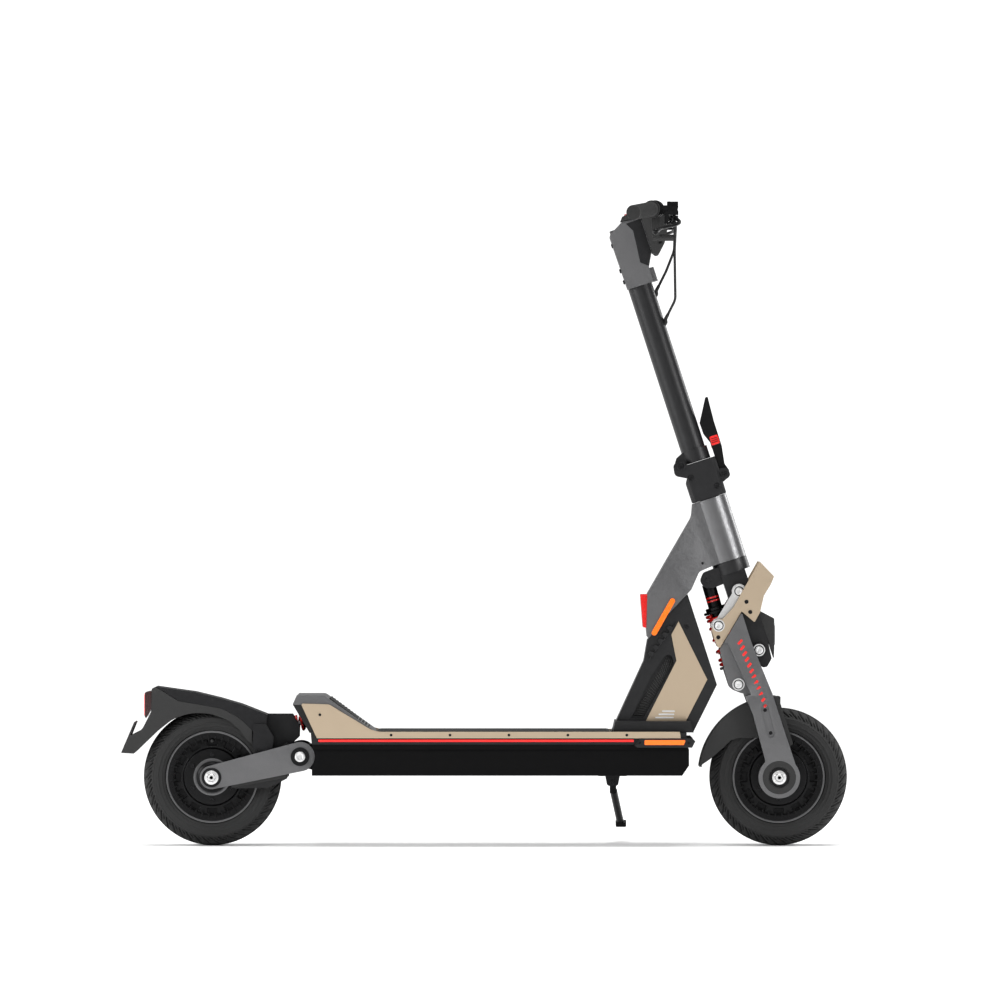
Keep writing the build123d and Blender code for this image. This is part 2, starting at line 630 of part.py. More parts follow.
def front_fender():
    """Front mudguard: a banded arch with side skirts, and a stay that wraps each leg's front edge."""
    outer_radius = 164.0
    band = rod(0, 0, -50, 50, outer_radius) - rod(0, 0, -60, 60, outer_radius - 5)
    band &= prism([(0, 0), (-200, 26), (-200, 200), (4, 200)], -60, 60)
    skirt = rod(0, 0, 47, 50, outer_radius)
    skirt &= prism([(-165, 20), (-140, 37), (-119, 55), (-98, 75), (-81, 80), (2, 80), (4, 200), (-200, 200)],
                   40, 60)
    arch = Pos(front_axle_x, 0, axle_z) * (band + skirt + other_side(skirt))
    plate = prism([(-34, 268, 4), (-34, 312), (-12, 318), (8, 318, 4), (7, 245), (-0.9, 245), (-6, 264, 8)],
                  48, leg_in - seat_gap)
    front = prism([(-0.9, 215), (7, 218, 2), (8, 318, 4), (-0.9, 322)], leg_in + 1, 68)
    front += prism([(-0.9, 245), (7, 245), (8, 318, 4), (-0.9, 322)], 50, 68)
    stay = steer(plate + front)
    return arch + stay + other_side(stay)


# ================================================================ folding joint and stem
def fold_block():
    """Hinge block clamped on the steerer: lower half of the folding joint."""
    base = prism([(-36, 747.3, 3), (-36, 790, 6), (-22, 812, 6), (-22, 826), (38, 826), (38, 800),
                  (37, 747.3, 3)], -33, 33)
    base &= Pos(0, 0, 790) * Cylinder(44, 100)
    base -= Pos(0, 0, 770) * Cylinder(steerer_radius + seat_gap, 53)
    ear = prism([(-30, 800), (-52, 812, 10), (-48, 837, 10), (-27, 838, 6), (-22.5, 826), (-12, 822),
                 (-12, 800)],
                22, 33)
    for solid in pair(ear):
        base += solid
    for solid in pair(prism([(30, 774), (34, 800), (56, 796, 8), (56, 778, 8), (36, 770)], 12, 22)):
        base += solid
    base -= prism([(-60, 793), (-60, 850), (-20, 850), (-20, 793)], -21, 21)
    base -= rod(*fold_pivot, -60, 60, 6 + run_gap)
    base -= rod(*lever_pivot, -60, 60, 4 + seat_gap)
    base -= prism([(30, 790), (38, 827), (60, 827), (60, 760), (39, 760)], -11.5, 11.5)
    return [steer(base), steer(rod(*lever_pivot, -23, 23, 4))]


def stem_tube():
    """Stem tube with the upper half of the folding joint at its foot."""
    low = 826.6
    tube = Cylinder(stem_radius, 1330 - low) - Cylinder(stem_radius - stem_wall, 600)
    tube = Pos(0, 0, (low + 1330) / 2) * tube
    foot = Pos(0, 0, (low + block_high) / 2) * (Cylinder(29, block_high - low))
    foot = foot & prism([(-21, low), (-21, 870), (40, 870), (40, low)], -40, 40)
    ear = prism([(-16, 852), (-16, 832), (-23, 827.5), (-28, 816, 5), (-42, 816, 8), (-46, 834, 8),
                 (-38, 846, 6), (-24, 852)], -20.4, 20.4)
    ear += prism([(-10, low), (-10, 850), (-23.5, 850), (-22, 827.4), (-20, low)], -20.4, 20.4)
    body = tube + foot + ear
    body -= rod(*fold_pivot, -60, 60, 6 + seat_gap)
    pin = rod(*fold_pivot, -33, 33, 6)
    caps = pair(rod(*fold_pivot, 33 + seat_gap, 37, 9))
    return [steer(body), steer(pin)] + [steer(cap) for cap in caps]


def fold_lever():
    """Over-centre lever that stands against the front of the stem."""
    blade = prism([(39.5, 776, 5), (38, 800, 8), (38, 855, 6), (30, 876, 3), (29.5, 900, 4), (56.5, 946, 2),
                   (61.5, 947, 2), (58.2, 894, 30), (58, 842, 20), (52, 805, 10), (57, 790, 4), (52, 774, 6)],
                  -11, 11)
    blade -= rod(*lever_pivot, -40, 40, 4 + run_gap)
    blade -= prism([(25, 842), (25, 874), (70, 874), (70, 842)], -7.2, 7.2)
    return steer(blade)


def fold_catch():
    """Red safety slider in the lever."""
    return steer(prism([(37, 843), (38.5, 866), (55, 866), (53.5, 843)], -6.6, 6.6))


def stem_head():
    """Cast head of the stem, which clasps the tube and carries the cockpit."""
    body = prism([(-26.8, 1205), (-28.7, 1322, 10), (5.6, 1341, 12), (44, 1336, 8), (44, 1264, 10), (29, 1236),
                  (28, 1204.5)], -34, 34)
    plan = make_face(Polyline((-30, 1190), (-34, 1280), (-34, 1350), (34, 1350), (34, 1280), (30, 1190),
                              close=True))
    body &= Pos(-60, 0, 0) * extrude(Plane.YZ * plan, amount=160, dir=(1, 0, 0))
    body -= Pos(0, 0, 1260) * Cylinder(stem_radius + seat_gap, 142)
    guide = Pos(33.6, 0, 1219) * Box(9, 26, 30)
    return [steer(body), steer(guide)]


def bar_point(y):
    """Centre of the handlebar at a place across: straight in the middle, swept at the grips."""
    inner = bar_width / 2 - grip_length
    if y <= bar_flat:
        return bar_centre
    if y <= inner:
        share = (y - bar_flat) / (inner - bar_flat)
        return (bar_centre[0] + (grip_start[0] - bar_centre[0]) * share,
                bar_centre[1] + (grip_start[1] - bar_centre[1]) * share)
    share = (y - inner) / grip_length
    return (grip_start[0] + (grip_end[0] - grip_start[0]) * share,
            grip_start[1] + (grip_end[1] - grip_start[1]) * share)


def along_bar(start_y, end_y, radius):
    """Round piece on the handlebar's line between two places across."""
    first = bar_point(start_y)
    last = bar_point(end_y)
    start = Vector(first[0], start_y, first[1])
    end = Vector(last[0], end_y, last[1])
    return extrude(Plane(origin=start, z_dir=end - start) * Circle(radius), amount=(end - start).length)


def handlebar():
    """Swept handlebar tube, thicker at its clamp."""
    inner = bar_width / 2 - grip_length
    stations = (bar_width / 2 - 8, inner, bar_flat)
    half = [(bar_point(y)[0], y, bar_point(y)[1]) for y in stations]
    points = [(x, -y, z) for x, y, z in half] + half[::-1]
    return hose(points, [60, 200, 200, 60], bar_radius)


def grips():
    """Rubber grips with an inner flange, their ends trimmed square to the scooter."""
    inner = bar_width / 2 - grip_length
    bore = along_bar(inner, bar_width / 2 - 4, bar_radius + seat_gap)
    grip = along_bar(inner + 12, bar_width / 2 + 8, grip_radius)
    grip += along_bar(inner + 12, inner + 16, grip_radius + 2.5)
    grip = (grip - bore) & Pos(330, 0, 1290) * Box(200, bar_width, 100)
    return pair(grip)


def cockpit_housing():
    """Moulded housing that wraps the bar clamp, in front of the stem's head."""
    body = prism([aim(44.3, 1262), aim(44.3, 1334), (*aim(60, 1352), 6), (*aim(92, 1340), 10),
                  (*aim(90, 1300), 14), (*aim(74, 1272), 12), (*aim(52, 1250), 6)], -44, 44)
    return body - rod(*bar_centre, -60, 60, bar_radius + seat_gap)


def display():
    """Display pod on top of the head and housing, tilted to the rider."""
    pod = prism([(2, 1342.5), (8, 1350, 3), (84, 1357, 3), (86, 1352.5), (58, 1352.3), (44, 1336.5)], -46, 46)
    pod -= Pos(power_spot[0], power_spot[1], power_spot[2] + 1) * Cylinder(7.6, 10)
    return steer(pod) - cockpit_housing() - rod(*bar_centre, -60, 60, bar_radius + 2)


# ================================================================ hand controls
clamp_y = bar_width / 2 - grip_length - 22
brake_pivot = (bar_point(clamp_y)[0] + 40, clamp_y + 2, bar_point(clamp_y)[1] - 20)
throttle_y = clamp_y - 26
throttle_half = 9.0


def brake_clamps():
    """Bar clamp, master cylinder and lever ears on each side, and the left switch pod."""
    bore = along_bar(bar_flat + 1, clamp_y + 21, bar_radius + seat_gap)
    clamp = along_bar(clamp_y - 8, clamp_y + 8, 17) - bore
    centre = bar_point(clamp_y)
    arm = Pos(centre[0] + 24, clamp_y, centre[1] - 2) * Box(26, 15, 18)
    cylinder = Pos(brake_pivot[0] - 2, clamp_y - 16, centre[1] - 3) * Rot(90, 0, 0) * Cylinder(9, 50)
    tank = Pos(brake_pivot[0] - 3, clamp_y - 22, centre[1] + 8) * Box(22, 36, 14)
    ear = Pos(brake_pivot[0] - 2, brake_pivot[1], brake_pivot[2] + 12) * Box(20, 18, 9)
    low_ear = Pos(brake_pivot[0] - 2, brake_pivot[1], brake_pivot[2] - 9) * Box(20, 18, 4)
    web = Pos(brake_pivot[0] - 16, brake_pivot[1], brake_pivot[2] + 1.5) * Box(8, 18, 25)
    body = clamp + (arm - bore) + cylinder + tank + ear + low_ear + (web - bore)
    pin = Pos(brake_pivot[0], brake_pivot[1], brake_pivot[2] + 1.5) * Cylinder(3, 25)
    body -= Pos(brake_pivot[0], brake_pivot[1], brake_pivot[2] + 2) * Cylinder(3 + seat_gap, 60)
    low = bar_point(clamp_y - 26)
    pod = along_bar(clamp_y - 40, clamp_y - 11, 19)
    pod += Pos(low[0] - 4, clamp_y - 26, low[1] - 20) * Box(26, 28, 22)
    pod -= bore
    pod -= Pos(low[0] - 17, clamp_y - 26, low[1] - 20) * Rot(0, 90, 0) * Cylinder(horn_bore, 14)
    return pair(body) + pair(pin) + [pod]


def brake_lever():
    """Left brake lever: an eye on its pivot and a blade that follows the grip's sweep."""
    centre = Vector(*brake_pivot)
    eye = Pos(*centre) * Pos(0, 0, 1) * Cylinder(8, 11)
    root = centre + Vector(2, 4, 0)
    knee = centre + Vector(9, 34, -8)
    tip = Vector(grip_end[0] + 46, bar_width / 2 - 18, grip_end[1] - 38)
    blade = hose([root, knee, tip], [24], 4.6)
    lever = eye + blade + Pos(*tip) * Sphere(6.2)
    return lever - Pos(*centre) * Cylinder(3 + run_gap, 60)


def throttle():
    """Thumb throttle on the right: a collar on the bar and a round paddle below it."""
    centre = bar_point(throttle_y)
    collar = along_bar(throttle_y - throttle_half, throttle_y + throttle_half, 18)
    collar -= along_bar(bar_flat + 1, clamp_y, bar_radius + 0.4)
    stalk = prism([(centre[0] - 9, centre[1] - 14), (centre[0] - 6, centre[1] - 58),
                   (centre[0] + 8, centre[1] - 58), (centre[0] + 9, centre[1] - 14)],
                  throttle_y - 6, throttle_y + 6)
    paddle = Pos(centre[0] + 16, throttle_y, centre[1] - 58) * Rot(0, 90, 0) * Cylinder(6.5, 42)
    return other_side(collar + stalk + paddle)


def horn_button():
    """Push button on the rider's face of the left pod."""
    low = bar_point(clamp_y - 26)
    return Pos(low[0] - 15.5, clamp_y - 26, low[1] - 20) * Rot(0, -90, 0) * Cylinder(horn_bore - 0.3, 7)


def power_button():
    """Round button let into the display pod's top."""
    return steer(Pos(*power_spot) * Cylinder(7, 5))


def brake_hoses():
    """Brake hoses from both master cylinders, looped down into the stem."""
    hoses = []
    for side, entry in ((1, 1123.0), (-1, 1062.0)):
        foot = aim(stem_radius + 3.4, entry + 62)
        start = (brake_pivot[0] - 2, side * (clamp_y - 41.2), bar_point(clamp_y)[1] - 3)
        points = [start, (brake_pivot[0] - 2, side * (clamp_y - 80), start[2] - 2),
                  (brake_pivot[0] + 6, side * (clamp_y - 128), start[2] - 26),
                  (brake_pivot[0] + 4, side * 20, start[2] - 76),
                  (foot[0] + 20, side * 9, foot[1] + 40), (foot[0], side * 6, foot[1])]
        hoses.append(hose(points, [34, 40, 40, 30], 2.6))
    return hoses


# ================================================================ write every sub-part
def shocks():
    """Front and rear dampers with their coils, each piece in its place."""
    front = shock_set(lower_fork_pivot, shock_top, 25.5, 3.6, (42, 152), body_length=132, body_radius=14,
                      shaft_radius=6, eye_half=14.3, foot_bore=bolt_radius + front_eye_play,
                      travel=front_travel)
    rear = shock_set(rear_eye, front_eye, 16.5, 2.6, (30, 104), body_length=86, body_radius=10,
                     shaft_radius=5, eye_half=12.5, foot_bore=eye_pin_radius + rear_eye_play,
                     travel=rear_travel)
    for name, solid in front.items():
        save(f"front_shock_{name}", steer(solid))
    for name, solid in rear.items():
        save(f"rear_shock_{name}", solid)


def front_suspension():
    upper = swing_link(upper_pivot, upper_fork_pivot, 15, 10)
    lower = swing_link(lower_pivot, lower_fork_pivot, 14, 9)
    save("upper_links", [steer(piece) for piece in pair(upper) + link_bolts(upper_pivot, link_out, 0)
                         + link_bolts(upper_fork_pivot, wing_out, link_in - 2)])
    save("lower_links", [steer(piece) for piece in pair(lower)])
    save("lower_link_bolts", [steer(piece) for piece in link_bolts(lower_pivot, link_out, 0)
                              + link_bolts(lower_fork_pivot, fork_in + 7, 0)])
    legs = pair(fork_leg())
    for spacer in fork_bridge():
        legs += pair(spacer)
    save("fork_legs", [steer(piece) for piece in legs])
    save("fork_wings", [steer(piece) for piece in pair(fork_wing())])


def build():
    os.makedirs("parts", exist_ok=True)
    for end, axle_x in (("front", front_axle_x), ("rear", rear_axle_x)):
        save(f"{end}_tyre", tyre(axle_x))
        save(f"{end}_hub_motor", hub_motor(axle_x))
        save(f"{end}_brake_disc", brake_disc(axle_x))
    save("front_axle", axle_set(front_axle_x, leg_out - 6))
    save("rear_axle", axle_set(rear_axle_x, arm_out))
    save("front_caliper", caliper(front_axle_x, 50, leg_in))
    save("rear_caliper", caliper(rear_axle_x, 40, arm_in))
    for piece in (battery_case, deck_frame, deck_mat, side_trims, kick_plate, battery_pack, motor_controller,
                  frame_hardware, kickstand, riser_frame, neck_casting, head_bearings, heat_sink_fins,
                  red_lamps, side_reflectors, swingarm, rear_fender, rear_mudflap, tail_light, steering_column,
                  headlight_housing, headlight_lens, front_fender, fold_block, stem_tube, fold_lever,
                  fold_catch, stem_head, handlebar, grips, cockpit_housing, display, brake_clamps, throttle,
                  horn_button, power_button, brake_hoses):
        save(piece.__name__, piece())
    save("brake_lever_left", brake_lever())
    save("brake_lever_right", other_side(brake_lever()))
    shocks()
    front_suspension()


build()
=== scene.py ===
import json
from math import cos, pi, radians, sin

import bmesh
import bpy
import numpy as np
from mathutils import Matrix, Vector


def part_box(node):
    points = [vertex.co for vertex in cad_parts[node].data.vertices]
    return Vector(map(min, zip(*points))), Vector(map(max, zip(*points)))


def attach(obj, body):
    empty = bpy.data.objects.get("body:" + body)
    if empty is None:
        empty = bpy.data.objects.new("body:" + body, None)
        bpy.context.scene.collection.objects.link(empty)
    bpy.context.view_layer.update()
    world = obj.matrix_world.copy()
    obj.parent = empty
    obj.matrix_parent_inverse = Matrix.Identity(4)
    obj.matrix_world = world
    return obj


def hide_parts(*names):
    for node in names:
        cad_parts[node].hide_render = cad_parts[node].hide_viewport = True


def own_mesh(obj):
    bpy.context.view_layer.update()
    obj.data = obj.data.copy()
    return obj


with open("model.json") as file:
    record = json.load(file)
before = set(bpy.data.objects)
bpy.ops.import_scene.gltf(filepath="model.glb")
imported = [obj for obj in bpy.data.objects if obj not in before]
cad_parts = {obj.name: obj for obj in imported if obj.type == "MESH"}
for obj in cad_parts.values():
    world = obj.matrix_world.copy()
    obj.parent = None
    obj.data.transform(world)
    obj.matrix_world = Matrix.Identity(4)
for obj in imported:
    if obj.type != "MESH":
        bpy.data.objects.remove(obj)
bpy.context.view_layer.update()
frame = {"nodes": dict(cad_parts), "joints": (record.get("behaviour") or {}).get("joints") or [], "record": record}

bl_info = {
    "name": "Electric kick scooter",
    "version": (1, 0, 0),
    "blender": (4, 5, 0),
    "location": "View3D > Sidebar > Scooter",
    "description": "Builds the scooter's visible pieces and finishes around its packed frame",
    "category": "Object",
}

# ------------------------------------------------------------------ places taken from the frame
bodies_of = {node: body for body, nodes in frame["record"]["behaviour"]["bodies"].items() for node in nodes}
joints = {joint["name"]: joint for joint in frame["joints"]}


def pivot(name):
    """A joint's place at rest."""
    return np.array(joints[name]["pos_m"], float)


steer_up = np.array(joints["steering"]["axis"], float)
steer_ahead = np.array([steer_up[2], 0.0, -steer_up[0]])
steer_foot = pivot("steering") - steer_up * pivot("steering")[2] / steer_up[2]
across = np.array([0.0, 1.0, 0.0])
ahead = np.array([1.0, 0.0, 0.0])
upward = np.array([0.0, 0.0, 1.0])


def aim(forward, up, side=0.0):
    """Point given ahead of the steering axis, up along it from the ground, and across."""
    return steer_foot + forward * steer_ahead + up * steer_up + side * across


def unit(vector):
    """The vector at length 1."""
    return np.asarray(vector, float) / np.linalg.norm(vector)


front_axle = pivot("front_wheel_spin")
rear_axle = pivot("rear_wheel_spin")
link_front = pivot("front_link_swing")
link_rear = pivot("fork_pivot")
lower_front = pivot("lower_link_swing")
lower_rear = lower_front + link_rear - link_front
damper_up = unit(joints["front_shock_slide"]["axis"])
rear_damper_up = unit(joints["rear_shock_slide"]["axis"])
rear_damper_top = pivot("rear_shock_swing")

# ------------------------------------------------------------------ sizes the frame doesn't name
tyre_radius = front_axle[2]
tyre_half = 0.044
grip_inner = np.array([0.3393, 0.212, 1.29645])
grip_outer = np.array([0.2993, 0.328, 1.2853])
grip_radius = 0.015
lever_tip = np.array([0.3453, 0.310, 1.2473])
link_face = 0.043
wing_face = 0.059
leg_face = 0.0742
axle_half = 0.086
hub_face = 0.0362
cover_face = 0.0376
disc_face = 0.0461
cap_seat = 0.005
stem_radius = 0.0254
hose_gap = 0.0034


# ================================================================== sizes and colours to change
def colour_property(label, words, red, green, blue):
    """A colour that the panel shows."""
    return bpy.props.FloatVectorProperty(name=label, description=words, subtype="COLOR", size=3,
                                         min=0.0, max=1.0, default=(red, green, blue))


class ScooterColours(bpy.types.PropertyGroup):
    """Base colours of the scooter's finishes."""

    frame_paint: colour_property(
        "Frame paint", "Dark satin paint of the stem, deck and column", 0.021, 0.021, 0.022)
    casting_paint: colour_property(
        "Casting paint", "Grey satin paint of the neck, fork and arms", 0.135, 0.135, 0.138)
    champagne: colour_property("Champagne", "Anodised side plates and strips", 0.56, 0.425, 0.29)
    signal_red: colour_property("Signal red", "Springs, catch and stripes", 0.62, 0.014, 0.012)
    lamp_red: colour_property("Lamp red", "Tail lamp and light strips", 0.60, 0.012, 0.010)
    amber: colour_property("Amber", "Side reflectors", 0.92, 0.15, 0.008)
    tyre_black: colour_property("Tyre black", "Tyres", 0.0055, 0.0055, 0.0055)
    silver: colour_property("Silver", "Machined links and bolts", 0.46, 0.46, 0.47)


class ScooterSizes(bpy.types.PropertyGroup):
    """Sizes of the scooter's visible detail."""

    edge_round: bpy.props.FloatProperty(
        name="Edge rounding", description="Width of the rounding on metal edges",
        default=0.0011, min=0.0001, max=0.004, unit="LENGTH")
    tread_blocks: bpy.props.IntProperty(
        name="Tread blocks", description="Shoulder blocks around each tyre", default=46, min=12, max=90)
    tread_depth: bpy.props.FloatProperty(
        name="Tread depth", description="Depth of the tyre's grooves",
        default=0.0040, min=0.001, max=0.008, unit="LENGTH")
    spring_turns: bpy.props.FloatProperty(
        name="Spring turns", description="Turns of the front coil", default=6.4, min=3.0, max=12.0)
    grip_ribs: bpy.props.IntProperty(
        name="Grip ribs", description="Rings along each grip", default=19, min=4, max=60)
    mat_rib_pitch: bpy.props.FloatProperty(
        name="Mat rib pitch", description="Spacing of the deck mat's ribs",
        default=0.0066, min=0.003, max=0.02, unit="LENGTH")


# ================================================================== finishes
class Finish:
    """A material under construction: one shader, object coordinates and a few short calls."""

    def __init__(self, name, **sockets):
        self.material = bpy.data.materials.new(name)
        self.material.use_nodes = True
        self.tree = self.material.node_tree
        self.tree.nodes.clear()
        out = self.tree.nodes.new("ShaderNodeOutputMaterial")
        self.shader = self.tree.nodes.new("ShaderNodeBsdfPrincipled")
        self.tree.links.new(self.shader.outputs["BSDF"], out.inputs["Surface"])
        self.place = self.tree.nodes.new("ShaderNodeTexCoord").outputs["Object"]
        self.normal = None
        for socket, value in sockets.items():
            self.shader.inputs[socket.replace("_", " ")].default_value = value

    def node(self, kind, **settings):
        """A new node with its settings."""
        made = self.tree.nodes.new(kind)
        for name, value in settings.items():
            setattr(made, name, value)
        return made

    def link(self, output, socket):
        self.tree.links.new(output, socket)

    def stretched(self, scale, turn=(0.0, 0.0, 0.0)):
        """Object coordinates scaled along their axes."""
        mapping = self.node("ShaderNodeMapping")
        mapping.inputs["Scale"].default_value = scale
        mapping.inputs["Rotation"].default_value = turn
        self.link(self.place, mapping.inputs["Vector"])
        return mapping.outputs["Vector"]

    def noise(self, scale, detail=3.0, place=None):
        """Cloudy pattern, 0 to 1."""
        made = self.node("ShaderNodeTexNoise")
        made.inputs["Scale"].default_value = scale
        made.inputs["Detail"].default_value = detail
        self.link(place or self.place, made.inputs["Vector"])
        return made.outputs["Fac"]

    def cells(self, scale, feature="F1", metric="EUCLIDEAN", randomness=1.0):
        """Cell pattern: distance to the nearest cell point."""
        made = self.node("ShaderNodeTexVoronoi", feature=feature, distance=metric)
        made.inputs["Scale"].default_value = scale
        made.inputs["Randomness"].default_value = randomness
        self.link(self.place, made.inputs["Vector"])
        return made.outputs["Distance"]

    def spread(self, pattern, low, high, start=0.3, end=0.7):
        """The pattern stretched to lie between low and high."""
        made = self.node("ShaderNodeMapRange")
        for socket, value in (("From Min", start), ("From Max", end), ("To Min", low), ("To Max", high)):
            made.inputs[socket].default_value = value
        self.link(pattern, made.inputs["Value"])
        return made.outputs["Result"]

    def tint(self, pattern, colour, change, start=0.3, end=0.7):
        """Base colour that goes from darker to lighter with the pattern."""
        ramp = self.node("ShaderNodeValToRGB")
        ramp.color_ramp.elements[0].position = start
        ramp.color_ramp.elements[1].position = end
        ramp.color_ramp.elements[0].color = (*[value * (1 - change) for value in colour], 1)
        ramp.color_ramp.elements[1].color = (*[min(1.0, value * (1 + change)) for value in colour], 1)
        self.link(pattern, ramp.inputs["Fac"])
        self.link(ramp.outputs["Color"], self.shader.inputs["Base Color"])

    def beyond(self, corner):
        """How far the place lies ahead of the corner or above it, whichever is more."""
        shift = self.node("ShaderNodeVectorMath", operation="SUBTRACT")
        shift.inputs[1].default_value = corner
        self.link(self.place, shift.inputs[0])
        parts = self.node("ShaderNodeSeparateXYZ")
        self.link(shift.outputs["Vector"], parts.inputs[0])
        most = self.node("ShaderNodeMath", operation="MAXIMUM")
        self.link(parts.outputs["X"], most.inputs[0])
        self.link(parts.outputs["Z"], most.inputs[1])
        return most.outputs[0]

    def aside(self, half):
        """How far the place lies outside that distance from the middle."""
        parts = self.node("ShaderNodeSeparateXYZ")
        self.link(self.place, parts.inputs[0])
        distance = self.node("ShaderNodeMath", operation="ABSOLUTE")
        self.link(parts.outputs["Y"], distance.inputs[0])
        past = self.node("ShaderNodeMath", operation="SUBTRACT")
        past.inputs[1].default_value = half
        self.link(distance.outputs[0], past.inputs[0])
        return past.outputs[0]

    def paint_shade(self, past, share, width=0.0008):
        """Painted shade: base colour times the share where the distance past a line is below nothing."""
        keep = self.spread(past, share, 1.0, -width, 0.0)
        base = self.shader.inputs["Base Color"].links[0].from_socket
        scaled = self.node("ShaderNodeVectorMath", operation="SCALE")
        self.link(base, scaled.inputs[0])
        self.link(keep, scaled.inputs["Scale"])
        self.link(scaled.outputs["Vector"], self.shader.inputs["Base Color"])

    def roughen(self, pattern, low, high):
        """Roughness that goes from low to high with the pattern."""
        self.link(self.spread(pattern, low, high), self.shader.inputs["Roughness"])

    def relief(self, pattern, depth, strength=1.0):
        """Fine surface relief of a depth in metres."""
        bump = self.node("ShaderNodeBump")
        bump.inputs["Distance"].default_value = depth
        bump.inputs["Strength"].default_value = strength
        self.link(pattern, bump.inputs["Height"])
        if self.normal is not None:
            self.link(self.normal, bump.inputs["Normal"])
        self.normal = bump.outputs["Normal"]
        self.link(self.normal, self.shader.inputs["Normal"])


def coat(name, colour, change, cloud, gloss, reliefs, **sockets):
    """A finish: the colour shaded by a pattern, uneven gloss and layers of relief.

    A pattern is the scale and detail of a noise, or the scale alone of round cells. The gloss is a noise's
    scale and detail, then the lowest and highest roughness. A relief is its depth and its pattern.
    """
    made = Finish(name, **sockets)

    def pattern(scale, detail=None):
        return made.noise(scale, detail) if detail else made.cells(scale)

    made.tint(pattern(*cloud), colour, change)
    made.roughen(made.noise(*gloss[:2]), *gloss[2:])
    for depth, *layer in reliefs:
        made.relief(pattern(*layer), depth)
    if "Emission_Strength" in sockets:
        made.shader.inputs["Emission Color"].default_value = (*colour, 1)
    return made.material


def satin_paint(name, colour, low=0.33, high=0.45, metallic=0.4, sheen=0.4):
    """Powder coat: faint orange peel, slightly uneven gloss."""
    return coat(name, colour, 0.08, (60, 4), (240, 3, low, high), [(0.00005, 1100, 2), (0.000012, 5200, 1)],
                Metallic=metallic, Coat_Weight=0.24 * sheen, Coat_Roughness=0.35, Specular_IOR_Level=sheen)


def cast_paint(name, colour, painted_shade_line=None):
    """Metallic paint over a cast surface: soft waviness and fine flake, with painted shade, near black, off the
    bright part.
    """
    made = Finish(name, Metallic=0.7, Coat_Weight=0.25, Coat_Roughness=0.24)
    made.tint(made.cells(6500), colour, 0.16, 0.1, 0.8)
    # painted shade: where a line is given, the colour falls to 0.16 of itself on its far side
    if painted_shade_line:
        made.paint_shade(painted_shade_line(made), 0.16)
    made.roughen(made.noise(180, 4), 0.30, 0.42)
    for depth, scale, detail in ((0.0026, 11, 2), (0.0003, 70, 3), (0.00004, 1500, 2)):
        made.relief(made.noise(scale, detail), depth)
    return made.material


def turned_metal(name, colour, low=0.16, high=0.3):
    """Machined metal with fine tool lines across its axis."""
    made = Finish(name, Metallic=1.0)
    lines = made.noise(40, 2, made.stretched((20, 260, 20)))
    made.tint(lines, colour, 0.08)
    made.roughen(lines, low, high)
    made.relief(lines, 0.00003)
    return made.material


def moulded(name, colour, grain=0.00006, low=0.46, high=0.62):
    """Injection moulded plastic with a spark-eroded grain."""
    return coat(name, colour, 0.1, (80, 4), (500, 3, low, high), [(grain, 1900)], Specular_IOR_Level=0.2)


def faceted(name, colour, pitch, shade, gloss, depth, strength, **sockets):
    """Small square pyramids moulded behind a lens or into a reflector, with painted facet shading: colour darker
    at each pyramid's middle and lighter towards its edges.
    """
    made = Finish(name, **sockets)
    pyramid_relief_and_shade = made.cells(pitch, metric="CHEBYCHEV", randomness=0.0)
    # painted facet shading: the colour follows the pyramids, darker at their middles
    made.tint(pyramid_relief_and_shade, colour, *shade)
    made.roughen(made.noise(*gloss[:2]), *gloss[2:])
    made.relief(pyramid_relief_and_shade, depth, strength)
    if "Emission_Strength" in sockets:
        made.shader.inputs["Emission Color"].default_value = (*colour, 1)
    return made.material


def glowing_lens(name, colour, glow):
    """Coloured lens that glows with the given strength: lit from within on the lamps, a painted glow on the side
    reflectors, which are no lamp.
    """
    return faceted(name, colour, 420, (0.45, 0.05, 0.6), (200, 2, 0.1, 0.18), 0.0006, 0.6,
                   Coat_Weight=0.6, Coat_Roughness=0.04, Emission_Strength=glow)


def studio_floor(name):
    """Pale floor with the slightest unevenness."""
    return coat(name, (0.93, 0.93, 0.93), 0.012, (1.5, 3), (6, 2, 0.6, 0.7), [])


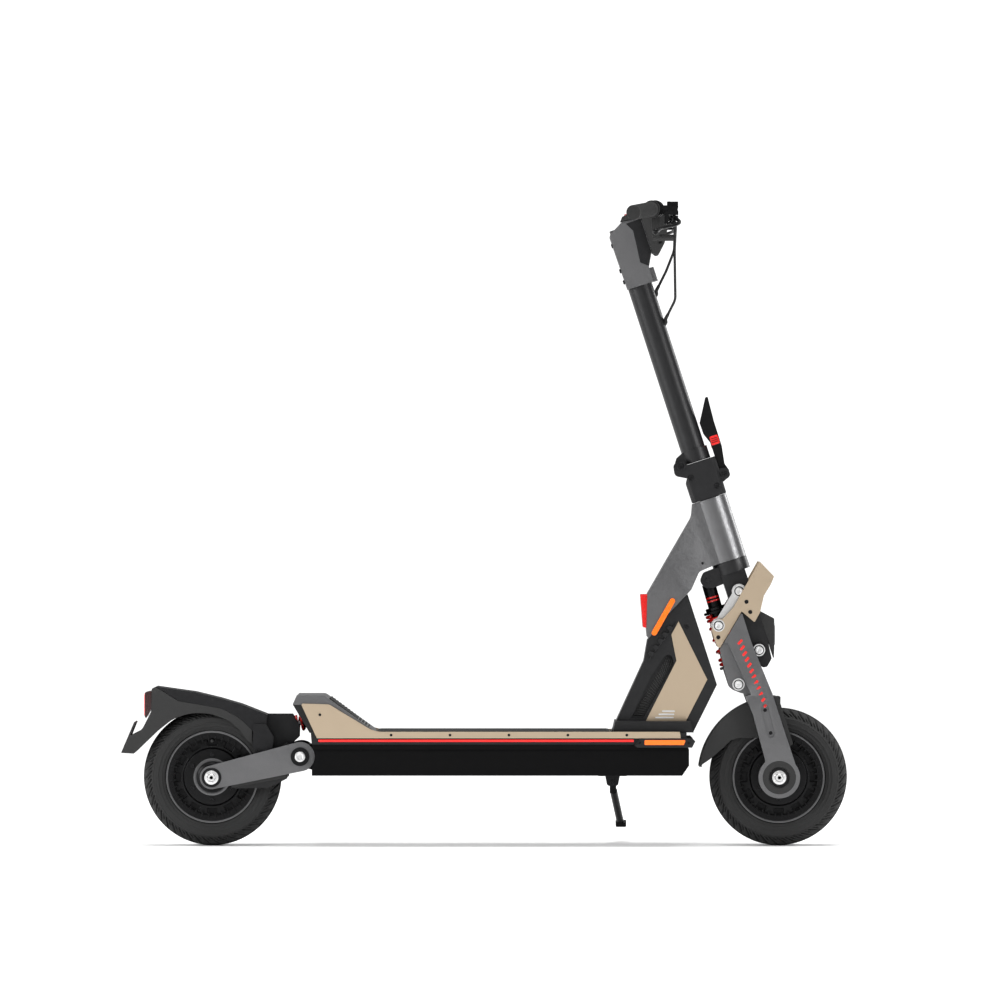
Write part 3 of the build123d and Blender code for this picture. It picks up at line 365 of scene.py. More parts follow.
def finish(kind):
    """The material of that kind, made the first time that it is asked for."""
    found = bpy.data.materials.get(kind)
    if found:
        return found
    colours = bpy.context.scene.scooter_colours
    makers = {
        # paint and anodising
        "frame_paint": lambda: satin_paint(kind, colours.frame_paint),
        "tray_paint": lambda: satin_paint(kind, (0.003, 0.003, 0.0033), 0.42, 0.56, 0.0, 0.12),
        "casting_paint": lambda: cast_paint(kind, colours.casting_paint),
        # painted shade on the kick plate's casting, behind and below the corner at x -0.335 m, z 0.2905 m
        "kick_paint_painted_shade": lambda: cast_paint(kind, colours.casting_paint,
                                         lambda made: made.beyond((-0.335, 0, 0.2905))),
        # painted shade on the swingarm's casting, darker within 0.068 m of the middle line
        "arm_paint_painted_shade": lambda: cast_paint(kind, colours.casting_paint, lambda made: made.aside(0.0680)),
        "champagne": lambda: coat(kind, colours.champagne, 0.07, (2600, 2), (420, 3, 0.30, 0.42),
                                  [(0.00003, 3600, 2)], Metallic=0.9),
        "black_anodised": lambda: coat(kind, (0.009, 0.009, 0.0095), 0.2, (900, 3), (260, 3, 0.32, 0.46),
                                       [(0.00004, 2400, 2)], Metallic=0.65),
        "signal_red": lambda: coat(kind, colours.signal_red, 0.12, (200, 3), (500, 3, 0.24, 0.36),
                                   [(0.00006, 900, 2)], Coat_Weight=0.7, Coat_Roughness=0.12),
        # bare metal
        "silver": lambda: turned_metal(kind, colours.silver),
        "steel": lambda: turned_metal(kind, (0.5, 0.5, 0.51), 0.22, 0.36),
        "dark_steel": lambda: turned_metal(kind, (0.03, 0.03, 0.031), 0.3, 0.42),
        "grey_metal": lambda: turned_metal(kind, (0.13, 0.13, 0.132), 0.3, 0.42),
        "mirror_metal": lambda: faceted(kind, (0.9, 0.9, 0.92), 330, (0.06,), (150, 2, 0.04, 0.1),
                                        0.0004, 0.5, Metallic=1.0),
        # plastic and rubber
        "black_plastic": lambda: moulded(kind, (0.006, 0.006, 0.0065)),
        "grey_plastic": lambda: moulded(kind, (0.017, 0.017, 0.018), 0.00004, 0.34, 0.46),
        "button_plastic": lambda: moulded(kind, (0.30, 0.02, 0.018), 0.00003, 0.3, 0.4),
        "tyre_rubber": lambda: coat(kind, colours.tyre_black, 0.35, (45, 5), (300, 3, 0.62, 0.82),
                                    [(0.00012, 1400, 3)], Specular_IOR_Level=0.14),
        "soft_rubber": lambda: coat(kind, (0.007, 0.007, 0.0075), 0.25, (120, 4), (500, 3, 0.68, 0.86),
                                    [(0.00016, 1300)], Specular_IOR_Level=0.14),
        "cell_sleeve": lambda: coat(kind, (0.02, 0.07, 0.22), 0.15, (30, 3), (90, 3, 0.25, 0.4),
                                    [(0.0004, 55, 4)], Coat_Weight=0.3, Coat_Roughness=0.2),
        # lamps and glass
        "lamp_red": lambda: glowing_lens(kind, colours.lamp_red, 0.25),
        "smoked_lamp": lambda: glowing_lens(kind, (0.03, 0.004, 0.004), 0.02),
        # the side reflectors are no lamp: their glow is painted light
        "amber": lambda: glowing_lens(kind, colours.amber, 0.15),
        "emitter": lambda: coat(kind, (0.95, 0.95, 0.9), 0.05, (300, 2), (200, 2, 0.2, 0.3),
                                [(0.0001, 900)], Emission_Strength=0.6),
        "clear_plastic": lambda: coat(kind, (0.93, 0.95, 0.97), 0.02, (30, 2), (120, 2, 0.01, 0.04),
                                      [(0.00002, 90, 2)], Transmission_Weight=1.0, IOR=1.49),
        "smoked_glass": lambda: coat(kind, (0.006, 0.006, 0.008), 0.3, (40, 3), (90, 4, 0.05, 0.12),
                                     [(0.00001, 60, 2)], Coat_Weight=1.0, Coat_Roughness=0.02),
        "studio_floor": lambda: studio_floor(kind),
    }
    return makers[kind]()


# ================================================================== surfaces
def sheet(points, wrap_rows=False, wrap_columns=False):
    """Grid surface: point (i, j) joins (i+1, j), (i+1, j+1) and (i, j+1) in one face."""
    rows, columns = points.shape[:2]
    i, j = np.meshgrid(np.arange(rows if wrap_rows else rows - 1),
                       np.arange(columns if wrap_columns else columns - 1), indexing="ij")
    after_i = (i + 1) % rows
    after_j = (j + 1) % columns
    faces = np.stack([i * columns + j, after_i * columns + j, after_i * columns + after_j,
                      i * columns + after_j], axis=-1).reshape(-1, 4)
    return points.reshape(-1, 3), faces


def beside(axis):
    """Two directions square to the axis and to each other."""
    first = np.cross(axis, ahead if abs(axis[0]) < 0.8 else upward)
    first = unit(first)
    return first, np.cross(axis, first)


def lathe(profile, centre, axis=across, turns=96, closed=False, six_sided=()):
    """Turned surface: profile point (r, h) goes round the axis at centre + h·axis + r·(cos a, sin a).

    Profile points listed in six_sided follow a hexagon, whose radius at angle a is
    r·cos 30° / cos((a mod 60°) - 30°).
    """
    axis = unit(axis)
    first, second = beside(axis)
    angle = np.arange(turns) * 2 * pi / turns
    radius, height = np.asarray(profile, float).T
    reach = np.repeat(radius[None, :], turns, axis=0)
    hexagon = cos(pi / 6) / np.cos(np.mod(angle, pi / 3) - pi / 6)
    for index in six_sided:
        reach[:, index] *= hexagon
    ring = np.cos(angle)[:, None, None] * first + np.sin(angle)[:, None, None] * second
    points = np.asarray(centre) + height[None, :, None] * axis + reach[:, :, None] * ring
    return sheet(points, wrap_rows=True, wrap_columns=closed)


def tube(path, radius, sides=16, reference=None, flat=1.0):
    """Bar with closed ends: at each path point a ring of radius r one way and r·flat the other."""
    path = np.asarray(path, float)
    radius = np.broadcast_to(np.asarray(radius, float), (len(path),))
    run = np.gradient(path, axis=0)
    run /= np.linalg.norm(run, axis=1)[:, None]
    reference = across if reference is None else np.asarray(reference, float)
    first = np.cross(run, reference)
    first /= np.linalg.norm(first, axis=1)[:, None]
    second = np.cross(run, first)
    angle = np.arange(sides) * 2 * pi / sides
    ring = np.cos(angle)[:, None] * first[:, None, :] + flat * np.sin(angle)[:, None] * second[:, None, :]
    points = path[:, None, :] + radius[:, None, None] * ring
    start = np.repeat(path[:1][:, None, :], sides, axis=1)
    end = np.repeat(path[-1:][:, None, :], sides, axis=1)
    return sheet(np.concatenate([start, points, end]), wrap_columns=True)


def curve(points, steps=12):
    """Smooth line through the points: Catmull-Rom pieces, each a cubic between two of them."""
    points = np.asarray(points, float)
    padded = np.vstack([2 * points[0] - points[1], points, 2 * points[-1] - points[-2]])
    share = np.linspace(0, 1, steps, endpoint=False)[:, None]
    spans = []
    for before, start, end, after in zip(padded, padded[1:], padded[2:], padded[3:]):
        spans.append(0.5 * (2 * start + (end - before) * share
                            + (2 * before - 5 * start + 4 * end - after) * share ** 2
                            + (3 * start - before - 3 * end + after) * share ** 3))
    return np.vstack(spans + [points[-1:]])


def pebble(centre, length, width, height, square=0.25, rows=24):
    """Rounded block: a sphere's sines and cosines, raised to the power square, along three half axes."""
    lift = np.linspace(-pi / 2, pi / 2, rows)[:, None]
    turn = np.arange(2 * rows)[None, :] * pi / rows

    def softened(value):
        return np.sign(value) * np.abs(value) ** square

    first = softened(np.cos(lift)) * softened(np.cos(turn))
    second = softened(np.cos(lift)) * softened(np.sin(turn))
    third = softened(np.sin(lift)) * np.ones_like(turn)
    points = (np.asarray(centre) + first[..., None] * np.asarray(length)
              + second[..., None] * np.asarray(width) + third[..., None] * np.asarray(height))
    return sheet(points, wrap_columns=True)


def mirrored(shape):
    """The shape on the scooter's other side."""
    points, faces = shape
    return points * np.array([1.0, -1.0, 1.0]), faces[:, ::-1]


def both_sides(shapes):
    """The shapes and their twins."""
    return shapes + [mirrored(shape) for shape in shapes]


def piece(name, shapes, material, body, stands_for=(), sharp=35.0):
    """One finished object from several shapes, on its body and the nodes it stands for."""
    counts = np.cumsum([0] + [len(points) for points, faces in shapes])
    points = np.vstack([points for points, faces in shapes])
    faces = np.vstack([faces + start for (every, faces), start in zip(shapes, counts)])
    mesh = bpy.data.meshes.new(name)
    mesh.vertices.add(len(points))
    mesh.vertices.foreach_set("co", points.astype(np.float32).ravel())
    mesh.loops.add(faces.size)
    mesh.loops.foreach_set("vertex_index", faces.astype(np.int32).ravel())
    mesh.polygons.add(len(faces))
    mesh.polygons.foreach_set("loop_start", np.arange(0, faces.size, 4, dtype=np.int32))
    mesh.update(calc_edges=True)
    merged = bmesh.new()
    merged.from_mesh(mesh)
    bmesh.ops.remove_doubles(merged, verts=merged.verts, dist=1e-6)
    bmesh.ops.recalc_face_normals(merged, faces=merged.faces)
    merged.to_mesh(mesh)
    merged.free()
    mesh.polygons.foreach_set("use_smooth", np.ones(len(mesh.polygons), bool))
    mesh.set_sharp_from_angle(angle=radians(sharp))
    made = bpy.data.objects.new(name, mesh)
    bpy.context.scene.collection.objects.link(made)
    mesh.materials.append(finish(material))
    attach(made, body)
    if stands_for:
        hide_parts(*stands_for)
    return made


def dress(node, material, rounding=1.0, segments=2):
    """Give a frame node its finish, and round its edges where a rounding share is given."""
    part = frame["nodes"][node]
    part.data.materials.clear()
    part.data.materials.append(finish(material))
    if rounding:
        part.data.polygons.foreach_set("use_smooth", np.ones(len(part.data.polygons), bool))
        weld = part.modifiers.new("weld", "WELD")
        weld.merge_threshold = 0.00001
        bevel = part.modifiers.new("round", "BEVEL")
        bevel.width = bpy.context.scene.scooter_sizes.edge_round * rounding
        bevel.segments = segments
        bevel.limit_method = "ANGLE"
        bevel.angle_limit = radians(32)
        bevel.miter_outer = "MITER_ARC"
        even = part.modifiers.new("even", "WEIGHTED_NORMAL")
        even.weight = 80
    return part


def screw(centre, axis, radius, height, bore=0.5, turns=48):
    """Socket screw head: a short domed cylinder with a six-sided recess."""
    edge = radius * 0.12
    key = radius * bore
    profile = [(0, -0.0002), (radius, -0.0002), (radius, height - edge),
               (radius - edge * 0.3, height - edge * 0.3), (radius - edge, height), (key * 1.12, height),
               (key, height - edge * 0.4), (key, height * 0.35), (0, height * 0.3)]
    return lathe(profile, centre, axis, turns, six_sided=(6, 7))


def skin(node, place):
    """The place moved across to the node's outer side there."""
    part = frame["nodes"][node]
    back = part.matrix_world.inverted()
    start = back @ Vector((place[0], 0.5, place[2]))
    found, hit, normal, face = part.ray_cast(start, back.to_3x3() @ Vector((0, -1, 0)))
    if not found:
        raise ValueError(f"{node} has no side at {place[0]:.3f}, {place[2]:.3f}")
    return np.array([place[0], (part.matrix_world @ hit).y, place[2]])


def side_screws(node, places, radius, height, bore=0.5, turns=36):
    """Screw heads seated on the node's side at each place, and on its other side."""
    return both_sides([screw(skin(node, place), across, radius, height, bore, turns) for place in places])


def wrench_nut(centre, axis, radius, height, hole, turns=72):
    """Six-sided nut with chamfered corners and a threaded hole's mouth."""
    profile = [(hole, 0), (radius * 1.28, 0), (radius * 1.28, height * 0.16),
               (radius * 1.04, height * 0.24), (radius * 1.04, height * 0.9), (radius * 0.9, height),
               (hole * 1.1, height), (hole, height * 0.9)]
    return lathe(profile, centre, axis, turns, closed=True, six_sided=(3, 4))


# ================================================================== wheels
def soft_band(value, middle, width, edge):
    """1 inside a band about the middle, 0 outside, with sloping edges."""
    return np.clip((width / 2 - np.abs(value - middle)) / edge + 0.5, 0, 1)


def tyre_shape(centre, blocks, depth):
    """Tyre: a hoop whose section point at lean angle f is at radius c + b·cos f and half width w·sin f.

    Grooves push the surface in along (cos f, sin f): bars bent back over the shoulders, short cuts between
    them, a wavy ring inside each shoulder and a fine line round the crown. The section closes through the
    beads and the inner wall.
    """
    steps = 14
    turn = np.arange(blocks * steps) * 2 * pi / (blocks * steps)
    lean = np.radians(np.linspace(-118, 118, 89))
    middle = tyre_radius - 0.0265
    radius = middle + np.where(np.cos(lean) > 0, 0.0265, 0.039) * np.cos(lean)
    width = tyre_half * np.sin(lean)
    place = np.mod(turn * blocks / (2 * pi), blocks)[:, None]
    tilt = np.degrees(np.abs(lean))[None, :]
    side = np.where(lean > 0, 0.5, 0.0)[None, :]
    bend = (tilt / 62) ** 2
    bars = soft_band(np.mod(place + side + bend, 1), 0.5, 0.2, 0.08) * soft_band(tilt, 48, 42, 4)
    short = soft_band(np.mod(place + side + bend + 0.5, 1), 0.5, 0.13, 0.08) * soft_band(tilt, 60, 16, 4)
    rings = soft_band(tilt + 2.2 * np.abs(np.mod(place, 1) - 0.5), 21, 4.4, 1.6)
    crown = 0.7 * soft_band(tilt, 0, 3.2, 1.4)
    groove = depth * np.maximum.reduce([bars, 0.8 * short, rings, crown + 0 * place])
    bead_ring = 0.0009 * sum(soft_band(tilt, lean_at, wide, 1)
                             for lean_at, wide in ((78, 3), (96, 3.5), (107, 3.5)))
    push = groove - bead_ring
    reach = radius[None, :] - push * np.cos(lean)[None, :]
    half = width[None, :] - push * np.sin(lean)[None, :]
    inner = np.array([(0.0962, 0.0295), (0.0842, 0.0292), (0.0842, 0.0215), (0.1, 0.024), (0.118, 0.034),
                      (0.128, 0.028), (0.132, 0.0), (0.128, -0.028), (0.118, -0.034), (0.1, -0.024),
                      (0.0842, -0.0215), (0.0842, -0.0292), (0.0962, -0.0295)])
    reach = np.hstack([reach, np.repeat(inner[None, :, 0], len(turn), axis=0)])
    half = np.hstack([half, np.repeat(inner[None, :, 1], len(turn), axis=0)])
    points = (np.asarray(centre) + reach[..., None] * (np.cos(turn)[:, None, None] * ahead
                                                       + np.sin(turn)[:, None, None] * upward)
              + half[..., None] * across)
    return sheet(points, wrap_rows=True, wrap_columns=True)


wheel_ends = (("front", front_axle, "fork"), ("rear", rear_axle, "rear_arm"))


def around(centre, radius, count, start=0.0):
    """Directions out from the axle, evenly spaced, and the place at that radius along each."""
    for turn in np.arange(count) * 2 * pi / count + start:
        outward = cos(turn) * ahead + sin(turn) * upward
        yield outward, centre + radius * outward


class MakeTyres(bpy.types.Operator):
    """Treaded tyres on both wheels"""

    bl_idname = "scooter.tyres"
    bl_label = "Tyres"

    def execute(self, context):
        sizes = context.scene.scooter_sizes
        for end, centre, arm in wheel_ends:
            shape = tyre_shape(centre, sizes.tread_blocks, sizes.tread_depth)
            piece(f"{end}_tyre_treaded", [shape], "tyre_rubber", f"{end}_wheel",
                  [f"{end}_tyre"], sharp=50)
        return {"FINISHED"}


class MakeWheels(bpy.types.Operator):
    """Hub motors, brake discs, calipers, axle nuts, cover screws and valves"""

    bl_idname = "scooter.wheels"
    bl_label = "Wheels"

    def execute(self, context):
        for end, centre, arm in wheel_ends:
            wheel = f"{end}_wheel"
            dress(f"{end}_hub_motor", "black_anodised", 0.8)
            dress(f"{end}_brake_disc", "steel", 0.3)
            dress(f"{end}_caliper", "black_anodised", 1.2)
            axle = tube([centre + across * y for y in np.linspace(-axle_half, axle_half, 12)], 0.008, 32,
                        reference=ahead)
            tip = lathe([(0, 0), (0.0079, 0), (0.0072, 0.0008), (0.0035, 0.0008), (0.0028, -0.0006),
                         (0, -0.0012)], centre + across * axle_half)
            nut = wrench_nut(centre + across * (leg_face + 0.0030), across, 0.0112, 0.0072, 0.0082)
            piece(f"{end}_axle_nuts", both_sides([nut, tip]) + [axle], "silver", arm,
                  [f"{end}_axle"])
            washer = lathe([(0.0083, 0), (0.02, 0), (0.02, 0.0022), (0.0194, 0.0028), (0.0083, 0.0028)],
                           centre + across * leg_face, closed=True)
            piece(f"{end}_axle_washers", both_sides([washer]), "dark_steel", arm)
            if end == "front":
                cover = lathe([(0.0204, 0), (0.0396, 0), (0.0396, 0.0030), (0.0374, 0.0050),
                               (0.0300, 0.0056), (0.0222, 0.0046), (0.0204, 0.0028)],
                              centre + across * (leg_face - 0.0001), closed=True)
                piece("fork_end_covers", both_sides([cover]), "black_plastic", arm)
            screws = [screw(spot + across * cover_face, across, 0.0042, 0.0026, turns=36)
                      for outward, spot in around(centre, 0.046, 6, pi / 6)]
            piece(f"{end}_cover_screws", both_sides(screws), "dark_steel", wheel)
            fins = [pebble(spot + across * hub_face, 0.0062 * outward, 0.0016 * np.cross(outward, across),
                           0.0016 * across, 0.3, 12) for outward, spot in around(centre, 0.0795, 36, pi / 36)]
            piece(f"{end}_hub_fins", both_sides(fins), "black_anodised", wheel)
            lip = lathe([(0.031, 0), (0.0345, 0.0009), (0.038, 0), (0.038, -0.002), (0.031, -0.002)],
                        centre + across * (hub_face + 0.0025), closed=True)
            rim_line = lathe([(0.0905, 0), (0.0925, 0.0006), (0.0945, 0), (0.0945, -0.001),
                              (0.0905, -0.001)], centre + across * (hub_face - 0.0002), closed=True)
            piece(f"{end}_rim_rings", both_sides([lip, rim_line]), "grey_metal", wheel)
            stem = centre + 0.0735 * upward
            valve = tube([stem - across * y for y in (0.026, 0.031, 0.034, 0.0345, 0.041, 0.0415, 0.043)],
                         [0.0042, 0.0042, 0.0038, 0.0031, 0.0031, 0.0026, 0.0026], 20, reference=ahead)
            piece(f"{end}_valve", [valve], "black_plastic", wheel)
            bolts = [screw(spot + across * disc_face, across, 0.0034, 0.002, turns=30)
                     for outward, spot in around(centre, 0.028, 6)]
            piece(f"{end}_disc_bolts", bolts, "silver", wheel)
        return {"FINISHED"}


# ================================================================== deck
def mat_shape(low, high, pitch):
    """Mat: height over (x, y) is ribs along x, each a softened band of every pitch, inside a plain rim."""
    x = np.linspace(low[0], high[0], 90)
    y = np.linspace(low[1], high[1], 420)
    rim = np.minimum(np.minimum(x - low[0], high[0] - x)[:, None],
                     np.minimum(y - low[1], high[1] - y)[None, :])
    inside = np.clip((rim - 0.009) / 0.002, 0, 1)
    ribs = soft_band(np.mod(y / pitch, 1), 0.5, 0.5, 0.22)[None, :]
    breaks = 1 - soft_band(np.mod(x / 0.0728, 1), 0.5, 0.06, 0.02)[:, None]
    height = high[2] - 0.0014 * inside * (1 - ribs * breaks)
    edge = np.clip(rim / 0.0012, 0, 1)
    height = height - 0.0008 * (1 - edge)
    top = np.stack([np.broadcast_to(x[:, None], height.shape), np.broadcast_to(y, height.shape), height], -1)
    ring = np.concatenate([top[:, 0], top[-1, 1:], top[-2::-1, -1], top[0, -2:0:-1]])
    foot = ring.copy()
    foot[:, 2] = low[2]
    middle = np.broadcast_to(foot.mean(axis=0), foot.shape)
    return [sheet(top), sheet(np.stack([ring, foot, middle]), wrap_columns=True)]


def plate_pad(start, end, half, thickness, pitch):
    """Grip pad on a slope: across it the plate's line, along it ribs, a softened band of every pitch."""
    run = np.linspace(0, 1, 120)
    y = np.array([-half, -half + 0.0004, half - 0.0004, half])
    length = np.linalg.norm(end - start)
    normal = unit(np.cross(end - start, across))
    normal = normal if normal[2] > 0 else -normal
    rise = 0.55 + 0.45 * soft_band(np.mod(run * length / pitch, 1), 0.5, 0.6, 0.25)
    rise *= np.clip(np.minimum(run, 1 - run) * length / 0.0015, 0, 1)
    drop = np.array([0.0, 1.0, 1.0, 0.0])
    top = (start + run[:, None, None] * (end - start) + y[None, :, None] * across
           + thickness * rise[:, None, None] * drop[None, :, None] * normal)
    base = start + run[:, None, None] * (end - start) + y[None, ::-1, None] * across + 0 * top
    return sheet(np.concatenate([top, base], axis=1), wrap_columns=True)


def slat_panel(low_left, high_left, low_right, high_right, out, count):
    """Slatted panel: straight from its left edge to its right, and up it waves of one slat each."""
    run = np.linspace(0, 1, count * 8)[:, None]
    left = np.array(low_left) + run * (np.array(high_left) - low_left)
    right = np.array(low_right) + run * (np.array(high_right) - low_right)
    edge = np.clip(np.minimum(run, 1 - run) * 60, 0, 1)
    rise = 0.0022 * (0.25 + 0.75 * soft_band(np.mod(run * count, 1), 0.5, 0.55, 0.3)) * edge
    front = np.stack([np.column_stack([left[:, 0], 0 * run, left[:, 1]]),
                      np.column_stack([left[:, 0], rise, left[:, 1]]),
                      np.column_stack([right[:, 0], rise, right[:, 1]]),
                      np.column_stack([right[:, 0], 0 * run, right[:, 1]])], axis=1)
    return sheet(front + out * across, wrap_columns=True)


class MakeDeck(bpy.types.Operator):
    """Battery tray, deck, side strips, kick plate and their pads"""

    bl_idname = "scooter.deck"
    bl_label = "Deck"

    def execute(self, context):
        sizes = context.scene.scooter_sizes
        dress("battery_case", "tray_paint", 2.2, 3)
        dress("deck_frame", "frame_paint", 1.4)
        # the kick plate's paint carries painted shade behind and below its corner
        dress("kick_plate", "kick_paint_painted_shade", 1.2)
        dress("side_trims", "champagne", 0.7)
        dress("battery_pack", "cell_sleeve", 0)
        dress("motor_controller", "silver", 0.5)
        dress("frame_hardware", "dark_steel", 0.6)
        low, high = (np.array(corner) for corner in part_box("deck_mat"))
        piece("deck_mat_ribbed", mat_shape(low, high, sizes.mat_rib_pitch), "soft_rubber", "chassis",
              ["deck_mat"], sharp=60)
        foot = np.array([-0.2345, 0.0, 0.2395])
        head = np.array([-0.3165, 0.0, 0.3007])
        rest = plate_pad(foot + 0.0018 * upward, head + 0.0018 * upward, 0.088, 0.0022, 0.0074)
        piece("kick_plate_pad", [rest], "soft_rubber", "chassis", sharp=60)
        strip = [(x, 0, 0.2286) for x in np.linspace(-0.19, 0.29, 5)] + [(-0.335, 0, 0.270)]
        piece("strip_screws", side_screws("side_trims", strip, 0.0028, 0.001), "dark_steel", "chassis")
        corners = [(x, 0, 0.2127) for x in (0.3165, 0.4165)]
        piece("corner_screws", side_screws("deck_frame", corners, 0.003, 0.001), "dark_steel", "chassis")
        heads = [screw(pivot("rear_arm_swing") + side * 0.081 * across, side * across, 0.0108, 0.0026)
                 for side in (1, -1)]
        piece("arm_bolt_heads", heads, "silver", "chassis")
        return {"FINISHED"}


class MakeLamps(bpy.types.Operator):
    """Light strips, neck lamp, tail lamp and side reflectors"""

    bl_idname = "scooter.lamps"
    bl_label = "Lamps"

    def execute(self, context):
        dress("red_lamps", "lamp_red", 0.6)
        dress("tail_light", "smoked_lamp", 0.8)
        low, high = (np.array(corner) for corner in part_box("tail_light"))
        middle = (low + high) / 2
        line = pebble([low[0] + 0.0006, 0, middle[2] - 0.001], 0.0022 * ahead, (high[1] - 0.0015) * across,
                      (high[2] - middle[2] - 0.004) * upward, 0.2, 32)
        piece("tail_lamp_lens", [line], "lamp_red", bodies_of["tail_light"])
        # the reflectors' amber finish glows: painted light
        dress("side_reflectors", "amber", 0.5)
        return {"FINISHED"}


class MakeRiser(bpy.types.Operator):
    """Riser, neck casting, cooling teeth and the raised ribs of the inlay"""

    bl_idname = "scooter.riser"
    bl_label = "Riser and neck"

    def execute(self, context):
        dress("riser_frame", "frame_paint", 1.8, 3)
        dress("neck_casting", "casting_paint", 2.4, 3)
        dress("heat_sink_fins", "frame_paint", 0.5)
        dress("head_bearings", "steel", 0.5)
        ribs = []
        for index in range(3):
            centre = skin("side_trims", (0.368 + 0.004 * index, 0, 0.2625 + 0.0066 * index))
            ribs.append(pebble(centre, (0.019 - 0.003 * index) * ahead, 0.0005 * across, 0.0017 * upward,
                               0.3, 16))
        piece("inlay_ribs", both_sides(ribs), "silver", "chassis")
        slats = slat_panel((0.3045, 0.2655), (0.3795, 0.3985), (0.3235, 0.2655), (0.3853, 0.3745),
                           0.0371, 26)
        piece("vent_slats", both_sides([slats]), "black_plastic", "chassis", sharp=50)
        screws = (side_screws("riser_frame", [(0.4130, 0, 0.4480)], 0.0046, 0.0016)
                  + side_screws("neck_casting", [(0.4460, 0, 0.5780)], 0.0026, 0.0008))
        piece("riser_screws", screws, "dark_steel", "chassis")
        return {"FINISHED"}


# ================================================================== suspension
def coil_shape(base, axis, coil_radius, wire, low, high, turns):
    """Spring wire with closed-up ends: over share s of its turns it rises by s - 0.62·sin(2πs)/2π."""
    share = np.linspace(0, 1, int(turns * 44))
    rise = share - 0.62 * np.sin(2 * pi * share) / (2 * pi)
    angle = share * turns * 2 * pi
    first, second = beside(axis)
    path = (base + (low + wire + (high - low - 2 * wire) * rise)[:, None] * axis
            + coil_radius * (np.cos(angle)[:, None] * first + np.sin(angle)[:, None] * second))
    return tube(path, wire, 18, reference=axis)


def damper_trim(base, axis, body_radius, low, high):
    """Notched adjuster ring above the coil's seat and the band rings round the damper body."""
    ring = lathe([(body_radius * share, low + rise) for share, rise in (
        (1, 0), (1.42, 0), (1.5, 0.001), (1.5, 0.006), (1.42, 0.007), (1, 0.007))],
                 base, axis, turns=72, closed=True)
    bands = [lathe([(body_radius + out, h + rise) for out, rise in (
        (-0.0004, 0), (0.0003, 0), (0.0003, 0.0035), (-0.0004, 0.0035))], base, axis, closed=True)
             for h in high]
    return ring, bands


class MakeDampers(bpy.types.Operator):
    """Dampers, their wound springs, adjuster rings and bands"""

    bl_idname = "scooter.dampers"
    bl_label = "Dampers"

    def execute(self, context):
        turns = context.scene.scooter_sizes.spring_turns
        rear_base = rear_damper_top - rear_damper_up * 0.1350
        # foot, axis, coil radius, wire radius, coil's low and high ends, body radius, heights of the bands
        sets = (("front", lower_rear, damper_up, 0.0219, 0.0036, 0.042, 0.152, 0.014, (0.176, 0.183)),
                ("rear", rear_base, rear_damper_up, 0.0139, 0.0026, 0.030, 0.104, 0.010, (0.116,)))
        for end, base, axis, coil_radius, wire, low, high, body_radius, bands in sets:
            dress(f"{end}_shock_body", "black_anodised", 0.6)
            dress(f"{end}_shock_rod", "steel", 0.6)
            coil = coil_shape(base, axis, coil_radius, wire, low, high, turns)
            spring = piece(f"{end}_coil_spring", [coil], "signal_red", f"{end}_shock_rod",
                           [f"{end}_shock_spring"], sharp=180)
            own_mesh(spring)
            ring, marks = damper_trim(base, axis, body_radius, high + 0.0054, bands)
            piece(f"{end}_adjuster_ring", [ring], "dark_steel", f"{end}_shock_body")
            piece(f"{end}_damper_bands", marks, "signal_red", f"{end}_shock_body")
        return {"FINISHED"}


def pivot_caps(spot, reach, height):
    """Bright socket caps of a link bolt on both sides, and the dark rings that they stand in."""
    caps = [screw(spot + reach * across, across, 0.0082, height, 0.46, 60)]
    rings = [lathe([(0.0080, -0.0002), (0.0100, -0.0002), (0.0100, 0.0006), (0.0080, 0.0006)],
                   spot + reach * across, closed=True)]
    return both_sides(caps), both_sides(rings)


class MakeFork(bpy.types.Operator):
    """Fork legs, champagne plates, links, bolts and the front mudguard"""

    bl_idname = "scooter.fork"
    bl_label = "Fork"

    def execute(self, context):
        dress("fork_legs", "casting_paint", 2.0, 3)
        dress("fork_wings", "champagne", 0.9)
        dress("upper_links", "silver", 0.9)
        dress("lower_links", "frame_paint", 0.9)
        dress("lower_link_bolts", "silver", 0.9)
        dress("front_fender", "black_plastic", 0.9)
        rings = {"upper_link": [], "lower_link": []}
        for name, body, spot, reach, height in (
                ("upper_front", "upper_link", link_front, link_face + cap_seat, 0.0009),
                ("upper_rear", "upper_link", link_rear, wing_face + cap_seat, 0.0026),
                ("lower_front", "lower_link", lower_front, link_face + cap_seat, 0.0026),
                ("lower_rear", "lower_link", lower_rear, 0.062, 0.0026)):
            caps, dark = pivot_caps(spot, reach, height)
            rings[body] += dark
            piece(f"{name}_bolt_caps", caps, "silver", body)
        for body, shapes in rings.items():
            piece(f"{body}_cap_rings", shapes, "dark_steel", body)
        spots = [aim(0.0063, 0.5231), aim(0.0071, 0.5008), aim(-0.0709, 0.4718)]
        piece("wing_screws", side_screws("fork_wings", spots, 0.0042, 0.0014), "dark_steel", "fork")
        groove = [aim(-0.0265, 0.3015), aim(-0.0300, 0.2535)]
        piece("leg_screws", side_screws("fork_legs", groove, 0.0036, 0.0012), "dark_steel", "fork")
        bars = []
        slant = unit(0.86 * steer_ahead + 0.5 * steer_up)
        for index in range(12):
            share = index / 11
            centre = skin("fork_legs", aim(-0.0318 + 0.0090 * share, 0.4490 - 0.1390 * share))
            bars.append(pebble(centre, (0.0062 - 0.0018 * share) * slant, 0.0004 * across,
                               0.0026 * unit(np.cross(slant, across)), 0.25, 12))
        piece("leg_stripes", both_sides(bars), "signal_red", "fork")
        return {"FINISHED"}


